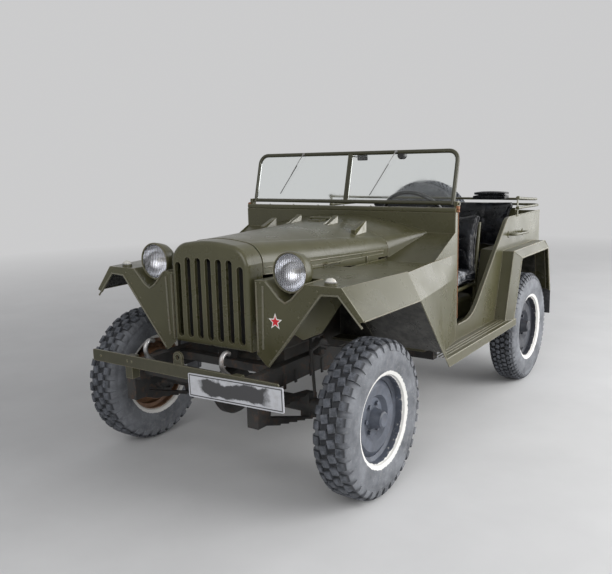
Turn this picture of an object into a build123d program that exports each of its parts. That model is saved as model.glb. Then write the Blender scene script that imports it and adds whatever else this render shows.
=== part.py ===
from build123d import *
from math import atan2, degrees, hypot, radians, sin, sqrt
import os

# Open army 4x4 car of the early 1940s, at real size, in millimetres.
# X runs across the car and +X is its left side, where the driver sits. The front faces -Y, and +Z is up.
# While the pieces are made, Y = 0 is the front axle and Z = 0 the ground. Each piece is then shifted
# along Y, so that the finished car's origin is on the ground under the middle of its length.

# Running gear
wheelbase = 2100
half_track = 723
tyre_radius = 370
tyre_width = 180
rim_width = 128
bolt_circle_radius = 70
axle_tube_radius = 38
differential_radius = 125
diff_offset = 95
kingpin_x = 590
steer_arm_length = 185
spring_half_track = 385
spring_width = 45
leaf_thickness = 7
leaf_count = 7
rear_spring_length = 690
spring_camber = 40
spindle_radius = 22

# Frame
rail_half_span = 330
rail_width = 46
rail_height = 96
rail_low_top = 526
rail_high_top = 600
rail_front_y = -440
rail_rear_y = 2465
bumper_y = -486
bumper_half = 576
bumper_low_z = 582
bumper_high_z = 640
bumper_thickness = 8

# Drive train
engine_front_y = -60
engine_rear_y = 560
clutch_rear_y = 800
gearbox_rear_y = 1060
gearbox_low_z = 430

# Running fit of a pin in its hole, and the gap under a piece that rests on another
fit_gap = 0.05
seat_gap = 0.3

# Body sheet and tub
sheet = 4
wall = 24
body_half = 730
ledge_z = 512
lip_z = 462
floor_z = 540
floor_thickness = 12
fender_half = 842
door_front_y = 992
door_low_z = 598
body_top_z = 1142
door_top_y = 1812
body_rear_y = 2495
cowl_z = 1262
cowl_y = 985
shelf_z = 1004
shelf_rear_y = 640
slope_top_z = 1122

# Front fenders
fender_z = 1010
fender_front_y = -225
fender_rear_y = 289
crease_front_x = 722
crease_rear_x = 772
fender_low_z = 877
fender_low_front_x = 830

# Grille and bonnet
grille_y = -255
grille_depth = 112
grille_half = 240
grille_low_z = 668
grille_shoulder_z = 1076
grille_top_z = 1178
slot_count = 7
slot_pitch = 65
slot_width = 38
slot_low_z = 698
slot_high_z = 1096
outer_slot_drop = 27
bonnet_gap = 6
bonnet_rear_y = 720
bonnet_rear_half = 436
bonnet_rear_top_z = 1196
bonnet_side_front_z = 1019
bonnet_side_rear_z = 980

# Lamps
lamp_x = 427
lamp_z = 1049
lamp_lens_y = -182
lamp_radius = 95
lamp_depth = 112

# Windscreen
screen_half = 693
screen_height = 300
screen_lean = 14.5
screen_tube = 12
screen_hinge_z = 1282
screen_hinge_y = 1003

# Spare wheel
spare_centre_z = 980
spare_gap = 120

plate_thickness = 4
front_end = bumper_y - bumper_thickness - plate_thickness
rear_end = body_rear_y + spare_gap + tyre_width
centre_y = (front_end + rear_end) / 2


def block(x_range, y_range, z_range):
    """A block between two limits along each axis."""
    spans = [limits[1] - limits[0] for limits in (x_range, y_range, z_range)]
    middle = [(limits[0] + limits[1]) / 2 for limits in (x_range, y_range, z_range)]
    return Pos(*middle) * Box(*spans)


def side_prism(outline, x_low, x_high):
    """An outline of (y, z) corners, as deep across the car as from x_low to x_high."""
    face = Plane.YZ.offset(x_low) * make_face(Polyline(*outline, close=True))
    return extrude(face, amount=x_high - x_low, dir=(1, 0, 0))


def front_prism(outline, y_low, y_high):
    """An outline of (x, z) corners seen from the front, extruded backwards."""
    plane = Plane(origin=(0, y_low, 0), x_dir=(1, 0, 0), z_dir=(0, -1, 0))
    return extrude(plane * make_face(Polyline(*outline, close=True)), amount=y_high - y_low, dir=(0, 1, 0))


def plan_prism(outline, z_low, z_high):
    """An outline of (x, y) corners seen from above, extruded upwards."""
    face = Pos(0, 0, z_low) * make_face(Polyline(*outline, close=True))
    return extrude(face, amount=z_high - z_low)


def band(line, thickness):
    """The closed outline of a bent sheet: a line of points, and its parallel to the left."""
    points = [Vector(*point) for point in line]
    headings = [(after - before).normalized() for before, after in zip(points, points[1:])]
    inner = []
    for place, point in enumerate(points):
        one = headings[max(place - 1, 0)].rotate(Axis.Z, 90)
        other = headings[min(place, len(headings) - 1)].rotate(Axis.Z, 90)
        normal = (one + other).normalized()
        inner.append(point + normal * (thickness / normal.dot(one)))
    return [(p.X, p.Y) for p in points] + [(p.X, p.Y) for p in reversed(inner)]


def rod(start, end, radius):
    """A round bar between two points."""
    axis = Vector(*end) - Vector(*start)
    return Plane(origin=start, z_dir=axis) * extrude(Circle(radius), amount=axis.length)


def tube(points, radius, bend):
    """A round bar bent along straight runs."""
    path = FilletPolyline(*points, radius=bend)
    section = Plane(origin=path @ 0, z_dir=path % 0) * Circle(radius)
    return sweep(section, path=path)


def both_sides(*left_pieces):
    """Left-hand pieces and their mirror images."""
    return [*left_pieces, *[mirror(piece, about=Plane.YZ) for piece in left_pieces]]


def save(name, *pieces):
    """Write one node, shifted so that the car's middle is over the origin."""
    solids = [solid for piece in pieces for solid in piece.solids()]
    export_step(Pos(0, -centre_y, 0) * Compound(children=solids), f"parts/{name}.step")


os.makedirs("parts", exist_ok=True)


# Chassis frame: two box rails that kick up over the front axle, with cross members.
kick_start_y = 520
kick_end_y = 250
rail_line = [
    (rail_front_y, rail_high_top), (kick_end_y, rail_high_top),
    (kick_start_y, rail_low_top), (rail_rear_y, rail_low_top),
]
rail = side_prism(
    band(rail_line, -rail_height), rail_half_span - rail_width / 2, rail_half_span + rail_width / 2
)
cross_inner = rail_half_span - rail_width / 2
# columns: y, top z, length along y, height
front_cross_y = rail_front_y + 60
front_cross_face = front_cross_y - 30
cross_members = [
    (front_cross_y, rail_high_top - 12, 60, 60),
    (grille_y + grille_depth + 8, rail_high_top - 12, 60, 40),
    (gearbox_rear_y + 50, rail_low_top - 2, 70, 34),
    (1480, rail_low_top - 4, 60, 60),
    (rail_rear_y - 40, rail_low_top - 6, 60, 80),
]
frame_pieces = both_sides(rail)
for y, top, length, height in cross_members:
    frame_pieces.append(
        block((-cross_inner, cross_inner), (y - length / 2, y + length / 2), (top - height, top))
    )
chassis = frame_pieces[0]
for piece in frame_pieces[1:]:
    chassis += piece
outrigger_y = (760, 1480)
for y in outrigger_y:
    for piece in both_sides(
        block(
            (rail_half_span, body_half - wall - 2), (y - 25, y + 25),
            (rail_low_top - 70, floor_z - floor_thickness)
        )
    ):
        chassis += piece
save("chassis_frame", chassis)

# Front bumper: a flat bar on the rail ends, with the towing eye above it and two open hooks.
bar = block(
    (-bumper_half, bumper_half), (bumper_y - bumper_thickness, bumper_y), (bumper_low_z, bumper_high_z)
)
bar = fillet(bar.edges().filter_by(Axis.Y), 8)
bracket_inner = rail_half_span - rail_width / 2
for piece in both_sides(
    block(
        (bracket_inner, bracket_inner + rail_width), (bumper_y, rail_front_y),
        (bumper_low_z - 60, bumper_high_z - 8)
    )
):
    bar += piece
eye_radius = 26
eye_hole_radius = 13
eye_z = bumper_high_z + 32
eye = front_prism(
    [(-34, bumper_low_z + 10), (34, bumper_low_z + 10), (22, eye_z), (-22, eye_z)], bumper_y, bumper_y + 14
)
eye_plane = Plane(origin=(0, bumper_y, eye_z), x_dir=(1, 0, 0), z_dir=(0, -1, 0))
eye += extrude(eye_plane * Circle(eye_radius), amount=14, dir=(0, 1, 0))
eye -= extrude(eye_plane * Circle(eye_hole_radius), amount=14, dir=(0, 1, 0))
save("front_bumper", bar + eye)

hook_tube = 10
hook_x = 238
hook_y = bumper_y + 24
hook_foot_z = rail_high_top - 30
hook_tip_z = rail_high_top + 112
hook_points = [
    (hook_x, front_cross_face, hook_foot_z),
    (hook_x, hook_y, hook_foot_z),
    (hook_x, hook_y, hook_tip_z),
    (hook_x, hook_y + 66, hook_tip_z),
]
hook_bend = 32
hooks = both_sides(tube(hook_points, hook_tube, hook_bend))
save("tow_hooks", *hooks)

plate_left = 604
plate_right = 74
plate_low_z = 513
plate_high_z = 622
plate_turn = 1.5
plate_middle = ((plate_left + plate_right) / 2, (plate_low_z + plate_high_z) / 2)
plate = block(
    (plate_right - plate_middle[0], plate_left - plate_middle[0]), (front_end, bumper_y - bumper_thickness),
    (plate_low_z - plate_middle[1], plate_high_z - plate_middle[1]),
)
plate = fillet(plate.edges().filter_by(Axis.Y), 8)
plate = Pos(plate_middle[0], 0, plate_middle[1]) * Rot(0, -plate_turn, 0) * plate
save("number_plate", plate)

# Engine, gearbox and transfer case as plain masses at their real places.
engine = chamfer(
    block((-120, 120), (engine_front_y, engine_rear_y), (560, 940)).edges().filter_by(Axis.Y), 14
)
engine += block((-105, 105), (190, engine_rear_y - 40), (470, 560))
save("engine", engine)
gearbox = block((-110, 110), (engine_rear_y + seat_gap, clutch_rear_y), (gearbox_low_z, 740))
gearbox = chamfer(gearbox.edges().filter_by(Axis.Y), 30)
gearbox += block((-85, 85), (clutch_rear_y, gearbox_rear_y), (gearbox_low_z, 640))
save("gearbox", gearbox)

radiator = block((-188, 188), (grille_y + 60, grille_y + 130), (grille_low_z + 14, grille_shoulder_z - 6))
flange_half = grille_half - sheet - seat_gap
radiator += block((-flange_half, flange_half), (grille_y + 66, grille_y + 96), (720, 1000))
foot_y = grille_y + grille_depth + 2
radiator += block((-60, 60), (foot_y, grille_y + 130), (rail_high_top - 12 + seat_gap, grille_low_z + 20))
save("radiator", radiator)


def grille_outline(inset):
    """The grille's front: straight sides, round shoulders and a slightly arched top."""
    half = grille_half - inset
    low = grille_low_z + inset
    top = grille_top_z - inset
    shoulder_x = half - 104
    shoulder_top = top - 12
    turn = [(half, grille_shoulder_z), (half - 34, shoulder_top - 30), (shoulder_x, shoulder_top)]
    right = [(-x, z) for x, z in turn]
    lines = Line((-half, low), (half, low)) + Line((half, low), turn[0]) + ThreePointArc(*turn)
    lines += ThreePointArc(turn[2], (0, top), right[2]) + ThreePointArc(*reversed(right))
    lines += Line(right[0], (-half, low))
    return make_face(lines)


def front_plane(y):
    """A plane across the car, with x to the left side and z up."""
    return Plane(origin=(0, y, 0), x_dir=(1, 0, 0), z_dir=(0, -1, 0))


# Grille: a pressed shell whose seven slots have rims turned inwards.
shell_back = grille_y + grille_depth
shell = extrude(front_plane(grille_y) * grille_outline(0), amount=grille_depth, dir=(0, 1, 0))
shell = fillet(shell.faces().sort_by(Axis.Y)[0].edges(), 20)
hollow = extrude(front_plane(grille_y + sheet) * grille_outline(sheet), amount=grille_depth, dir=(0, 1, 0))
shell -= fillet(hollow.faces().sort_by(Axis.Y)[0].edges(), 16)
rim_depth = 18
rim_sheet = 3
crank_notch_half = 16
for place in range(slot_count):
    x = (place - (slot_count - 1) / 2) * slot_pitch
    drop = outer_slot_drop if place in (0, slot_count - 1) else 0
    height = slot_high_z - drop - slot_low_z
    slot_plane = front_plane(grille_y) * Pos(x, slot_low_z + height / 2)
    rim = slot_plane * SlotOverall(height + 2 * rim_sheet, slot_width + 2 * rim_sheet, rotation=90)
    hole = slot_plane * SlotOverall(height, slot_width, rotation=90)
    shell += extrude(rim, amount=rim_depth, dir=(0, 1, 0))
    shell -= extrude(hole, amount=rim_depth, dir=(0, 1, 0))
notch = [(-crank_notch_half, grille_low_z), (crank_notch_half, grille_low_z), (0, grille_low_z + 14)]
shell -= front_prism(notch, grille_y, grille_y + 30)
save("grille", shell)

# Front panels: the pressed plate each side of the grille, with a V-shaped pocket for the headlamp.
panel_y = fender_front_y - sheet
panel_inner_x = grille_half + 20
pocket_in_x = lamp_x - 107
pocket_out_x = lamp_x + 107
pocket_low_z = 912
pocket_turn = (34, 22)
lip = 32
pocket_line = [
    (pocket_out_x, fender_z), (lamp_x + pocket_turn[0], pocket_low_z + pocket_turn[1]),
    (lamp_x, pocket_low_z),
    (lamp_x - pocket_turn[0], pocket_low_z + pocket_turn[1]), (pocket_in_x, fender_z),
]
panel_outline = [
    (panel_inner_x, 660), (305, 618), (328, 606), (466, 772), (611, fender_z - 42),
    (crease_front_x - 18, fender_z - 38), (fender_low_front_x - lip, fender_low_z - 14),
    (fender_low_front_x, fender_low_z), (crease_front_x, fender_z),
    *pocket_line, (panel_inner_x, fender_z),
]
plate = front_prism(panel_outline, panel_y, fender_front_y)
pocket_depth = 150
pocket = front_prism(band(pocket_line, -sheet), fender_front_y, fender_front_y + pocket_depth)
back_plate = front_prism(pocket_line, fender_front_y + pocket_depth, fender_front_y + pocket_depth + sheet)
front_panel = plate + pocket + back_plate
save("front_panels", *both_sides(front_panel))

# Front fenders: flat top and slanting outer panel, wider towards the rear.


def fender_section(y, crease_x, low_x, inner_x):
    """The fender's sheet across the car at one station."""
    line = [(inner_x, fender_z), (crease_x, fender_z), (low_x, fender_low_z)]
    return front_plane(y) * make_face(Polyline(*band(line, -sheet), close=True))


fender_inner_front = grille_half + 20
fender_inner_rear = 352
fender = loft(
    [
        fender_section(fender_front_y, crease_front_x, fender_low_front_x, fender_inner_front),
        fender_section(fender_rear_y, crease_rear_x, fender_half, fender_inner_rear),
    ],
    ruled=True,
)
pocket_room = pocket_depth + 2 * sheet
fender -= block(
    (pocket_in_x - sheet, pocket_out_x + sheet), (fender_front_y - 1, fender_front_y + pocket_room),
    (900, 1100)
)
splash_x = 428
splash = side_prism(
    [
        (fender_front_y, fender_z - sheet), (fender_rear_y, fender_z - sheet),
        (fender_rear_y, 860), (60, 720), (-100, 720), (fender_front_y, 800),
    ],
    splash_x - 2, splash_x + 2,
)
splash -= block((300, 500), (fender_front_y - 1, fender_front_y + pocket_room), (880, 1100))
save("front_fenders", *both_sides(fender + splash))

# Headlamps: a turned bowl on a stem, with a domed lens.


bowl_outline = Polyline(
    (0, 4), (lamp_radius - 9, 4), (lamp_radius - 9, 0), (lamp_radius, 0), (lamp_radius, 20)
)
bowl_arc = ThreePointArc((lamp_radius, 20), (lamp_radius - 24, 72), (34, lamp_depth - 10))
bowl_end = Polyline((34, lamp_depth - 10), (30, lamp_depth), (0, lamp_depth), (0, 4))
bowl_plane = Plane(origin=(lamp_x, lamp_lens_y, lamp_z), x_dir=(1, 0, 0), z_dir=(0, 0, 1))
bowl = revolve(
    bowl_plane * make_face(bowl_outline + bowl_arc + bowl_end),
    Axis((lamp_x, lamp_lens_y, lamp_z), (0, 1, 0))
)
stem_y = lamp_lens_y + 70
pocket_slope = pocket_turn[1] / pocket_turn[0]
foot_low_z = pocket_low_z + sheet * hypot(1, pocket_slope) + 0.2
foot_half = 24
foot_top_z = foot_low_z + foot_half * pocket_slope
foot = [(lamp_x, foot_low_z), (lamp_x + foot_half, foot_top_z), (lamp_x - foot_half, foot_top_z)]
stem = front_prism(foot, stem_y - 24, stem_y + 24) + rod(
    (lamp_x, stem_y, foot_top_z), (lamp_x, stem_y, lamp_z - 60), 11
)
bowl = bowl + stem
save("headlamp_shells", *both_sides(bowl))
lens_radius = lamp_radius - 10
lens_bulge = 14
lens_sphere = (lens_radius**2 + lens_bulge**2) / (2 * lens_bulge)
lens_plane = Plane(origin=(lamp_x, lamp_lens_y + 3.5, lamp_z), z_dir=(0, -1, 0))
lens = lens_plane * extrude(Circle(lens_radius), amount=lens_bulge + 3)
lens &= Pos(lamp_x, lamp_lens_y - lens_bulge + lens_sphere, lamp_z) * Sphere(lens_sphere)
save("headlamp_lenses", *both_sides(lens))

marker_x = 640
marker_y = -180
marker = Pos(marker_x, marker_y, fender_z) * extrude(Rectangle(66, 40), amount=30)
marker = fillet(marker.edges().filter_by(Axis.Z), 18)
marker = fillet(marker.faces().sort_by(Axis.Z)[-1].edges(), 12)
save("marker_lamps", *both_sides(marker))


# Bonnet: one lid with its sides, lofted from the grille's outline to the scuttle's.
bonnet_front_y = shell_back + bonnet_gap
top_edge_drop = 12


def lid_section(y, half, low, side_top, turn_x, turn_drop, top, inset):
    """The bonnet's cross section: upright sides, round shoulders and an arched top."""
    half, turn_x, top = half - inset, turn_x - inset / 2, top - inset
    turn = [
        (half, side_top),
        (half - (half - turn_x) * 0.32, side_top + (top - turn_drop - side_top) * 0.68),
        (turn_x, top - turn_drop),
    ]
    left = [(-x, z) for x, z in turn]
    lines = Line((-half, low), (half, low)) + Line((half, low), turn[0]) + ThreePointArc(*turn)
    lines += ThreePointArc(turn[2], (0, top), left[2]) + ThreePointArc(*reversed(left))
    lines += Line(left[0], (-half, low))
    return front_plane(y) * make_face(lines)


def lid_shell(stations):
    """A sheet metal lid lofted through its stations, open below and at both ends."""
    outer = loft([lid_section(*station, 0) for station in stations], ruled=True)
    lowered = [(y, half, low - 20, *rest) for y, half, low, *rest in stations]
    return outer - loft([lid_section(*station, sheet) for station in lowered], ruled=True)


# columns: y, half width, low z, top of upright side, shoulder x, shoulder drop below the top, top z
front_station = (
    bonnet_front_y, grille_half + 2, bonnet_side_front_z, grille_shoulder_z, grille_half - 102,
    top_edge_drop, grille_top_z + 2,
)
rear_station = (
    bonnet_rear_y, bonnet_rear_half, bonnet_side_rear_z, 1052, bonnet_rear_half - 58, 74, bonnet_rear_top_z,
)
bonnet = lid_shell([front_station, rear_station])
side_clear_y = 645
side_clear_z = 1012
bonnet -= block(
    (-bonnet_rear_half - 1, bonnet_rear_half + 1), (side_clear_y, bonnet_rear_y + 1), (900, side_clear_z)
)
# Rests for the folded windscreen: four wedges across the bonnet. Columns: x, height over the bonnet's top
rest_rear_y = 690
rest_length = 120
rest_thickness = 26
inner_lid = loft([lid_section(*front_station, 1), lid_section(*rear_station, 1)], ruled=True)
rests = [(-308, 8), (-125, 32), (125, 32), (308, 8)]
for x, height in rests:
    rest_top = bonnet_rear_top_z + height
    wedge = side_prism(
        [(rest_rear_y - rest_length, bonnet_rear_top_z - 90), (rest_rear_y, bonnet_rear_top_z - 90),
         (rest_rear_y, rest_top), (rest_rear_y - 10, rest_top),
         (rest_rear_y - rest_length, bonnet_rear_top_z - 32)],
        x - rest_thickness / 2, x + rest_thickness / 2,
    )
    bonnet += wedge - inner_lid

# The bonnet's hinge: a barrel on the bonnet turns on a pin held by two knuckles on the scuttle.
bonnet_hinge_y = bonnet_rear_y + bonnet_gap / 2
bonnet_hinge_z = bonnet_rear_top_z + 11
barrel_radius = 9
barrel_half = 40
hinge_pin_radius = 5
hinge_end = 70
leaf_length = 72
barrel_leaf = block(
    (-barrel_half, barrel_half), (bonnet_hinge_y - leaf_length, bonnet_hinge_y - 1),
    (bonnet_rear_top_z - 30, bonnet_rear_top_z + 6),
)
bonnet += barrel_leaf - inner_lid
bonnet += rod(
    (-barrel_half, bonnet_hinge_y, bonnet_hinge_z), (barrel_half, bonnet_hinge_y, bonnet_hinge_z),
    barrel_radius
)
bonnet -= rod(
    (-hinge_end, bonnet_hinge_y, bonnet_hinge_z), (hinge_end, bonnet_hinge_y, bonnet_hinge_z),
    hinge_pin_radius + fit_gap
)
save("bonnet", bonnet)

# Cowl: shelf behind the fenders, slope, bulkhead, firewall, toe boards and the arched scuttle.
shelf_front_y = fender_rear_y + 1
side_rear_y = 972
bulkhead_y = side_rear_y - 12
cowl_line = [
    (shelf_front_y, shelf_z), (shelf_rear_y + 60, shelf_z - 16), (bulkhead_y, slope_top_z),
    (bulkhead_y, cowl_z - 26)
]
cowl = side_prism(band(cowl_line, -sheet), -(body_half - sheet), body_half - sheet)
bay_half = 430
cowl -= block((-bay_half, bay_half), (shelf_front_y - 1, bonnet_rear_y - 14), (900, 1100))
cowl_bar = block((-body_half + 2, body_half - 2), (bulkhead_y - 2, cowl_y + 14), (cowl_z - 26, cowl_z))
cowl += fillet(cowl_bar.edges().filter_by(Axis.X), 8)
firewall_y = bonnet_rear_y - 14
firewall = block(
    (-bay_half - sheet, bay_half + sheet), (firewall_y, firewall_y + sheet), (floor_z, shelf_z)
)
tunnel_half = 132
tunnel_top_z = 765
tunnel_rear_y = gearbox_rear_y + 30
firewall -= block(
    (-tunnel_half, tunnel_half), (firewall_y - 1, firewall_y + 9), (floor_z - 1, tunnel_top_z)
)
cowl += firewall
for side_wall in both_sides(
    side_prism(
        [
            (shelf_front_y, 870), (614, floor_z), (firewall_y + sheet, floor_z), (firewall_y + sheet, 984),
            (shelf_front_y, 1000)
        ],
        bay_half, bay_half + sheet,
    )
):
    cowl += side_wall
toe_line = [(shelf_front_y, shelf_z - 1), (shelf_front_y, fender_low_z - 4), (614, floor_z)]
toe = side_prism(band(toe_line, sheet), bay_half, fender_half)
toe &= front_prism(
    [(bay_half, floor_z - 4), (fender_half - 32, floor_z - 4), (fender_half - sheet - 2, fender_low_z),
     (crease_rear_x - sheet - 3, shelf_z), (bay_half, shelf_z)],
    shelf_front_y - 10, 700,
)
cowl_nodes = both_sides(toe)
for piece in cowl_nodes:
    cowl += piece
trunnion_radius = 8
trunnion_start = (screen_half, screen_hinge_y, screen_hinge_z)
trunnion_end = (body_half + 10, screen_hinge_y, screen_hinge_z)
for hinge_block in both_sides(
    block(
        (screen_half + 14, body_half - 2), (screen_hinge_y - 16, screen_hinge_y + 16),
        (cowl_z - 6, screen_hinge_z + 14)
    )
    - rod(trunnion_start, trunnion_end, trunnion_radius + fit_gap)
):
    cowl += hinge_block
save("cowl", cowl)

scuttle_front = (bonnet_rear_y + bonnet_gap, *rear_station[1:])
scuttle_rear = (bulkhead_y - 1, 560, 1080, 1118, 548, 80, 1212)
scuttle = lid_shell([scuttle_front, scuttle_rear])
below = [
    (600, 900), (600, shelf_z), (shelf_rear_y + 60, shelf_z - 15), (bulkhead_y, slope_top_z + 1),
    (1100, slope_top_z), (1100, 900)
]
scuttle -= side_prism(below, -800, 800)
inner_scuttle = loft([lid_section(*scuttle_front, 1), lid_section(*scuttle_rear, 1)], ruled=True)
knuckle_leaf = side_prism(
    [(bonnet_hinge_y + 4, bonnet_rear_top_z - 30), (bonnet_hinge_y + 4, bonnet_rear_top_z + 7),
     (bonnet_hinge_y + leaf_length, bonnet_rear_top_z + 10),
     (bonnet_hinge_y + leaf_length, bonnet_rear_top_z - 30)],
    barrel_half + 2, hinge_end,
)
knuckle_leaf -= inner_scuttle
knuckle_leaf += rod(
    (barrel_half + 2, bonnet_hinge_y, bonnet_hinge_z), (hinge_end, bonnet_hinge_y, bonnet_hinge_z),
    barrel_radius
)
for piece in both_sides(knuckle_leaf):
    scuttle += piece
scuttle += rod(
    (-hinge_end, bonnet_hinge_y, bonnet_hinge_z), (hinge_end, bonnet_hinge_y, bonnet_hinge_z),
    hinge_pin_radius
)
save("scuttle", scuttle)

# Cowl sides: the flared sheets between fender, sill and door opening.


def flare_section(z, front, knee, rear):
    """The flared sheet seen from above at one height."""
    return Pos(0, 0, z) * make_face(Polyline(*band([front, knee, rear], sheet), close=True))


flare_foot_y = fender_rear_y + (fender_low_z - ledge_z) * 0.845
flare_front_y = fender_rear_y + 1
# columns: z, then x and y of the sheet's front edge, its knee and its rear edge
flare_sections = [
    (ledge_z, (fender_half, flare_foot_y), (762, 760), (body_half, side_rear_y)),
    (fender_low_z, (fender_half, flare_front_y), (792, 620), (body_half, side_rear_y)),
    (shelf_z, (crease_rear_x, flare_front_y), (740, 620), (body_half, side_rear_y)),
]
flare = loft([flare_section(*row) for row in flare_sections], ruled=True)
upper = [
    (shelf_rear_y + 40, shelf_z), (side_rear_y, shelf_z), (side_rear_y, cowl_z - 27),
    (bulkhead_y - 2, cowl_z - 27),
    (bulkhead_y - 2, slope_top_z + 6), (shelf_rear_y + 60, shelf_z + 4),
]
flare += side_prism(upper, body_half - sheet, body_half)
save("cowl_sides", *both_sides(flare))


# Tub: sides with scalloped door openings, floor with its tunnel, wheel boxes and rear panel.
inner_half = body_half - wall
side_front_y = side_rear_y + 1
box_inner_x = 588
arch_line = [(1600, ledge_z), (1738, 935), (2392, 935), (2441, 700), (2441, ledge_z)]
arch_outer = [
    (arch_line[0][0] - sheet, ledge_z), (arch_line[1][0] - sheet, arch_line[1][1] + sheet),
    (arch_line[2][0] + sheet, arch_line[2][1] + sheet), (arch_line[3][0] + sheet, arch_line[3][1]),
    (arch_line[4][0] + sheet, ledge_z),
]
side_outline = [
    (side_front_y, ledge_z), (body_rear_y, ledge_z), (body_rear_y, body_top_z), (side_front_y, body_top_z)
]
side = side_prism(side_outline, inner_half, body_half)
door_high = 1400
door_low_corner = 1222
door_path = FilletPolyline(
    (door_front_y, door_high, 0), (door_front_y, door_low_z, 0), (door_low_corner, door_low_z, 0),
    (door_top_y, body_top_z, 0), (body_rear_y - 200, body_top_z + 1, 0), radius=[20, 300, 110],
)
door_close = Polyline(door_path @ 1, (body_rear_y - 200, door_high, 0), (door_front_y, door_high, 0))
door_face = Plane.YZ.offset(inner_half - 1) * make_face(door_path + door_close)
side += side_prism(
    [
        (side_front_y, body_top_z), (door_front_y, body_top_z), (door_front_y, cowl_z - 27),
        (side_front_y, cowl_z - 27)
    ],
    inner_half, body_half,
)
side -= extrude(door_face, amount=wall + 2, dir=(1, 0, 0))
arch_room = side_prism(arch_line, box_inner_x, body_half + 1)
side -= side_prism(arch_outer, inner_half - 1, body_half + 1)
tail_room = block(
    (box_inner_x - 10, body_half + 1), (arch_line[2][0], body_rear_y + 1), (ledge_z - 1, floor_z + 26)
)
side -= tail_room
save("body_sides", *both_sides(side))

wheel_box = side_prism(arch_outer, box_inner_x - sheet, body_half) - arch_room
save("wheel_boxes", *both_sides(wheel_box - tail_room))

panel_inner_y = body_rear_y - wall
floor_front_y = 616
floor_low_z = floor_z - floor_thickness
floor = block((-inner_half, inner_half), (floor_front_y, panel_inner_y), (floor_low_z, floor_z))
for piece in both_sides(side_prism(arch_outer, box_inner_x - sheet, body_half)):
    floor -= piece
floor -= block(
    (-tunnel_half, tunnel_half), (floor_front_y - 1, tunnel_rear_y), (floor_low_z - 1, floor_z + 1)
)
tunnel = block(
    (-tunnel_half, tunnel_half), (firewall_y + sheet, tunnel_rear_y), (floor_low_z, tunnel_top_z)
)
tunnel = chamfer(tunnel.edges().filter_by(Axis.Y).group_by(Axis.Z)[-1], 34)
tunnel_room = block(
    (-tunnel_half + sheet, tunnel_half - sheet), (firewall_y - 1, tunnel_rear_y - sheet),
    (floor_low_z - 1, tunnel_top_z - sheet)
)
tunnel -= chamfer(tunnel_room.edges().filter_by(Axis.Y).group_by(Axis.Z)[-1], 33)
floor += tunnel
save("floor", floor)

rear_panel = block((-inner_half, inner_half), (panel_inner_y, body_rear_y), (floor_low_z, body_top_z))
spare_x = -262
carrier = block(
    (spare_x - 70, spare_x + 70), (body_rear_y, body_rear_y + spare_gap),
    (spare_centre_z - 150, body_top_z - 12)
)
save("rear_panel", fillet(rear_panel.edges().filter_by(Axis.X).group_by(Axis.Z)[-1], 8) + carrier)

# Rear fenders: open-sided arches with a slanting outer edge, outside the tub.
fender_line = [(1600, ledge_z), (1738, 935), (2400, 935), (2480, 575)]
edge_slant = 42
flat_width = fender_half - edge_slant - body_half


def fender_prism(inset):
    """The arch as a solid block whose outer edge is slanted."""
    low = ledge_z - 200 if inset else ledge_z
    (front_y, _), (top_front_y, top_z), (top_rear_y, _), (rear_y, rear_z) = fender_line
    lean = (top_front_y - front_y) / (top_z - ledge_z)
    drop = (rear_y - top_rear_y) / (top_z - rear_z)
    corners = [
        (top_front_y + inset * 0.8, top_z - inset), (top_rear_y - inset * 0.8, top_z - inset),
        (top_rear_y - inset * 0.8 + (top_z - low) * drop, low),
        (top_front_y + inset * 0.8 - (top_z - low) * lean, low),
    ]
    shape = Plane.YZ.offset(body_half) * make_face(Polyline(*corners, close=True))
    straight = extrude(shape, amount=flat_width - inset * 0.4, dir=(1, 0, 0))
    outer_x = body_half + flat_width - inset * 0.4
    outer_face = Plane.YZ.offset(outer_x) * make_face(Polyline(*corners, close=True))
    return straight, outer_face, corners


def arch_block(inset, reach):
    """The slanted arch block: a straight part and a part that narrows by 45 degrees."""
    straight, outer_face, corners = fender_prism(inset)
    x = body_half + flat_width - inset * 0.4
    (a_y, a_z), (b_y, b_z), (c_y, c_z), (d_y, d_z) = corners
    far_corners = [
        (a_y + reach, a_z - reach), (b_y - reach, b_z - reach), (c_y - reach, c_z), (d_y + reach, d_z)
    ]
    far = Plane.YZ.offset(x + reach) * make_face(Polyline(*far_corners, close=True))
    return straight + loft([outer_face, far], ruled=True)


rear_fender = arch_block(0, edge_slant) - arch_block(sheet, edge_slant + 6)
rear_fender -= block((body_half - 1, fender_half + 10), (2000, 2600), (ledge_z - 300, fender_line[3][1]))
save("rear_fenders", *both_sides(rear_fender))

flap_low_z = 394
flap_y = fender_line[3][0] + seat_gap
flap_bend_z = fender_line[3][1]
flap_high_z = flap_bend_z + 34
flap_lean = (flap_high_z - flap_bend_z) * (
    fender_line[3][0] - fender_line[2][0]
) / (fender_line[2][1] - fender_line[3][1])
flap_line = [(flap_y - flap_lean, flap_high_z), (flap_y, flap_bend_z), (flap_y, flap_low_z)]
flap = side_prism(band(flap_line, 7), body_half + 6, fender_half - 14)
save("mud_flaps", *both_sides(flap))

# Running boards: a ledge beside the sill with a deep outer lip.
board_rear_y = fender_line[0][0]
board = plan_prism(
    [
        (body_half, side_rear_y), (762 - 4, 760), (fender_half, flare_foot_y), (fender_half, board_rear_y),
        (body_half, board_rear_y)
    ],
    ledge_z - sheet, ledge_z,
)
lip_rear_y = 1690
board += side_prism(
    [
        (flare_foot_y, ledge_z - 1), (flare_foot_y + 42, lip_z), (lip_rear_y, lip_z + 10),
        (lip_rear_y, ledge_z - 1)
    ],
    fender_half - sheet, fender_half,
)
board_braces = (1020, 1480)
for y in board_braces:
    board += block((body_half - wall, fender_half - sheet), (y - 3, y + 3), (lip_z + 12, ledge_z - sheet))
save("running_boards", *both_sides(board))


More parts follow.
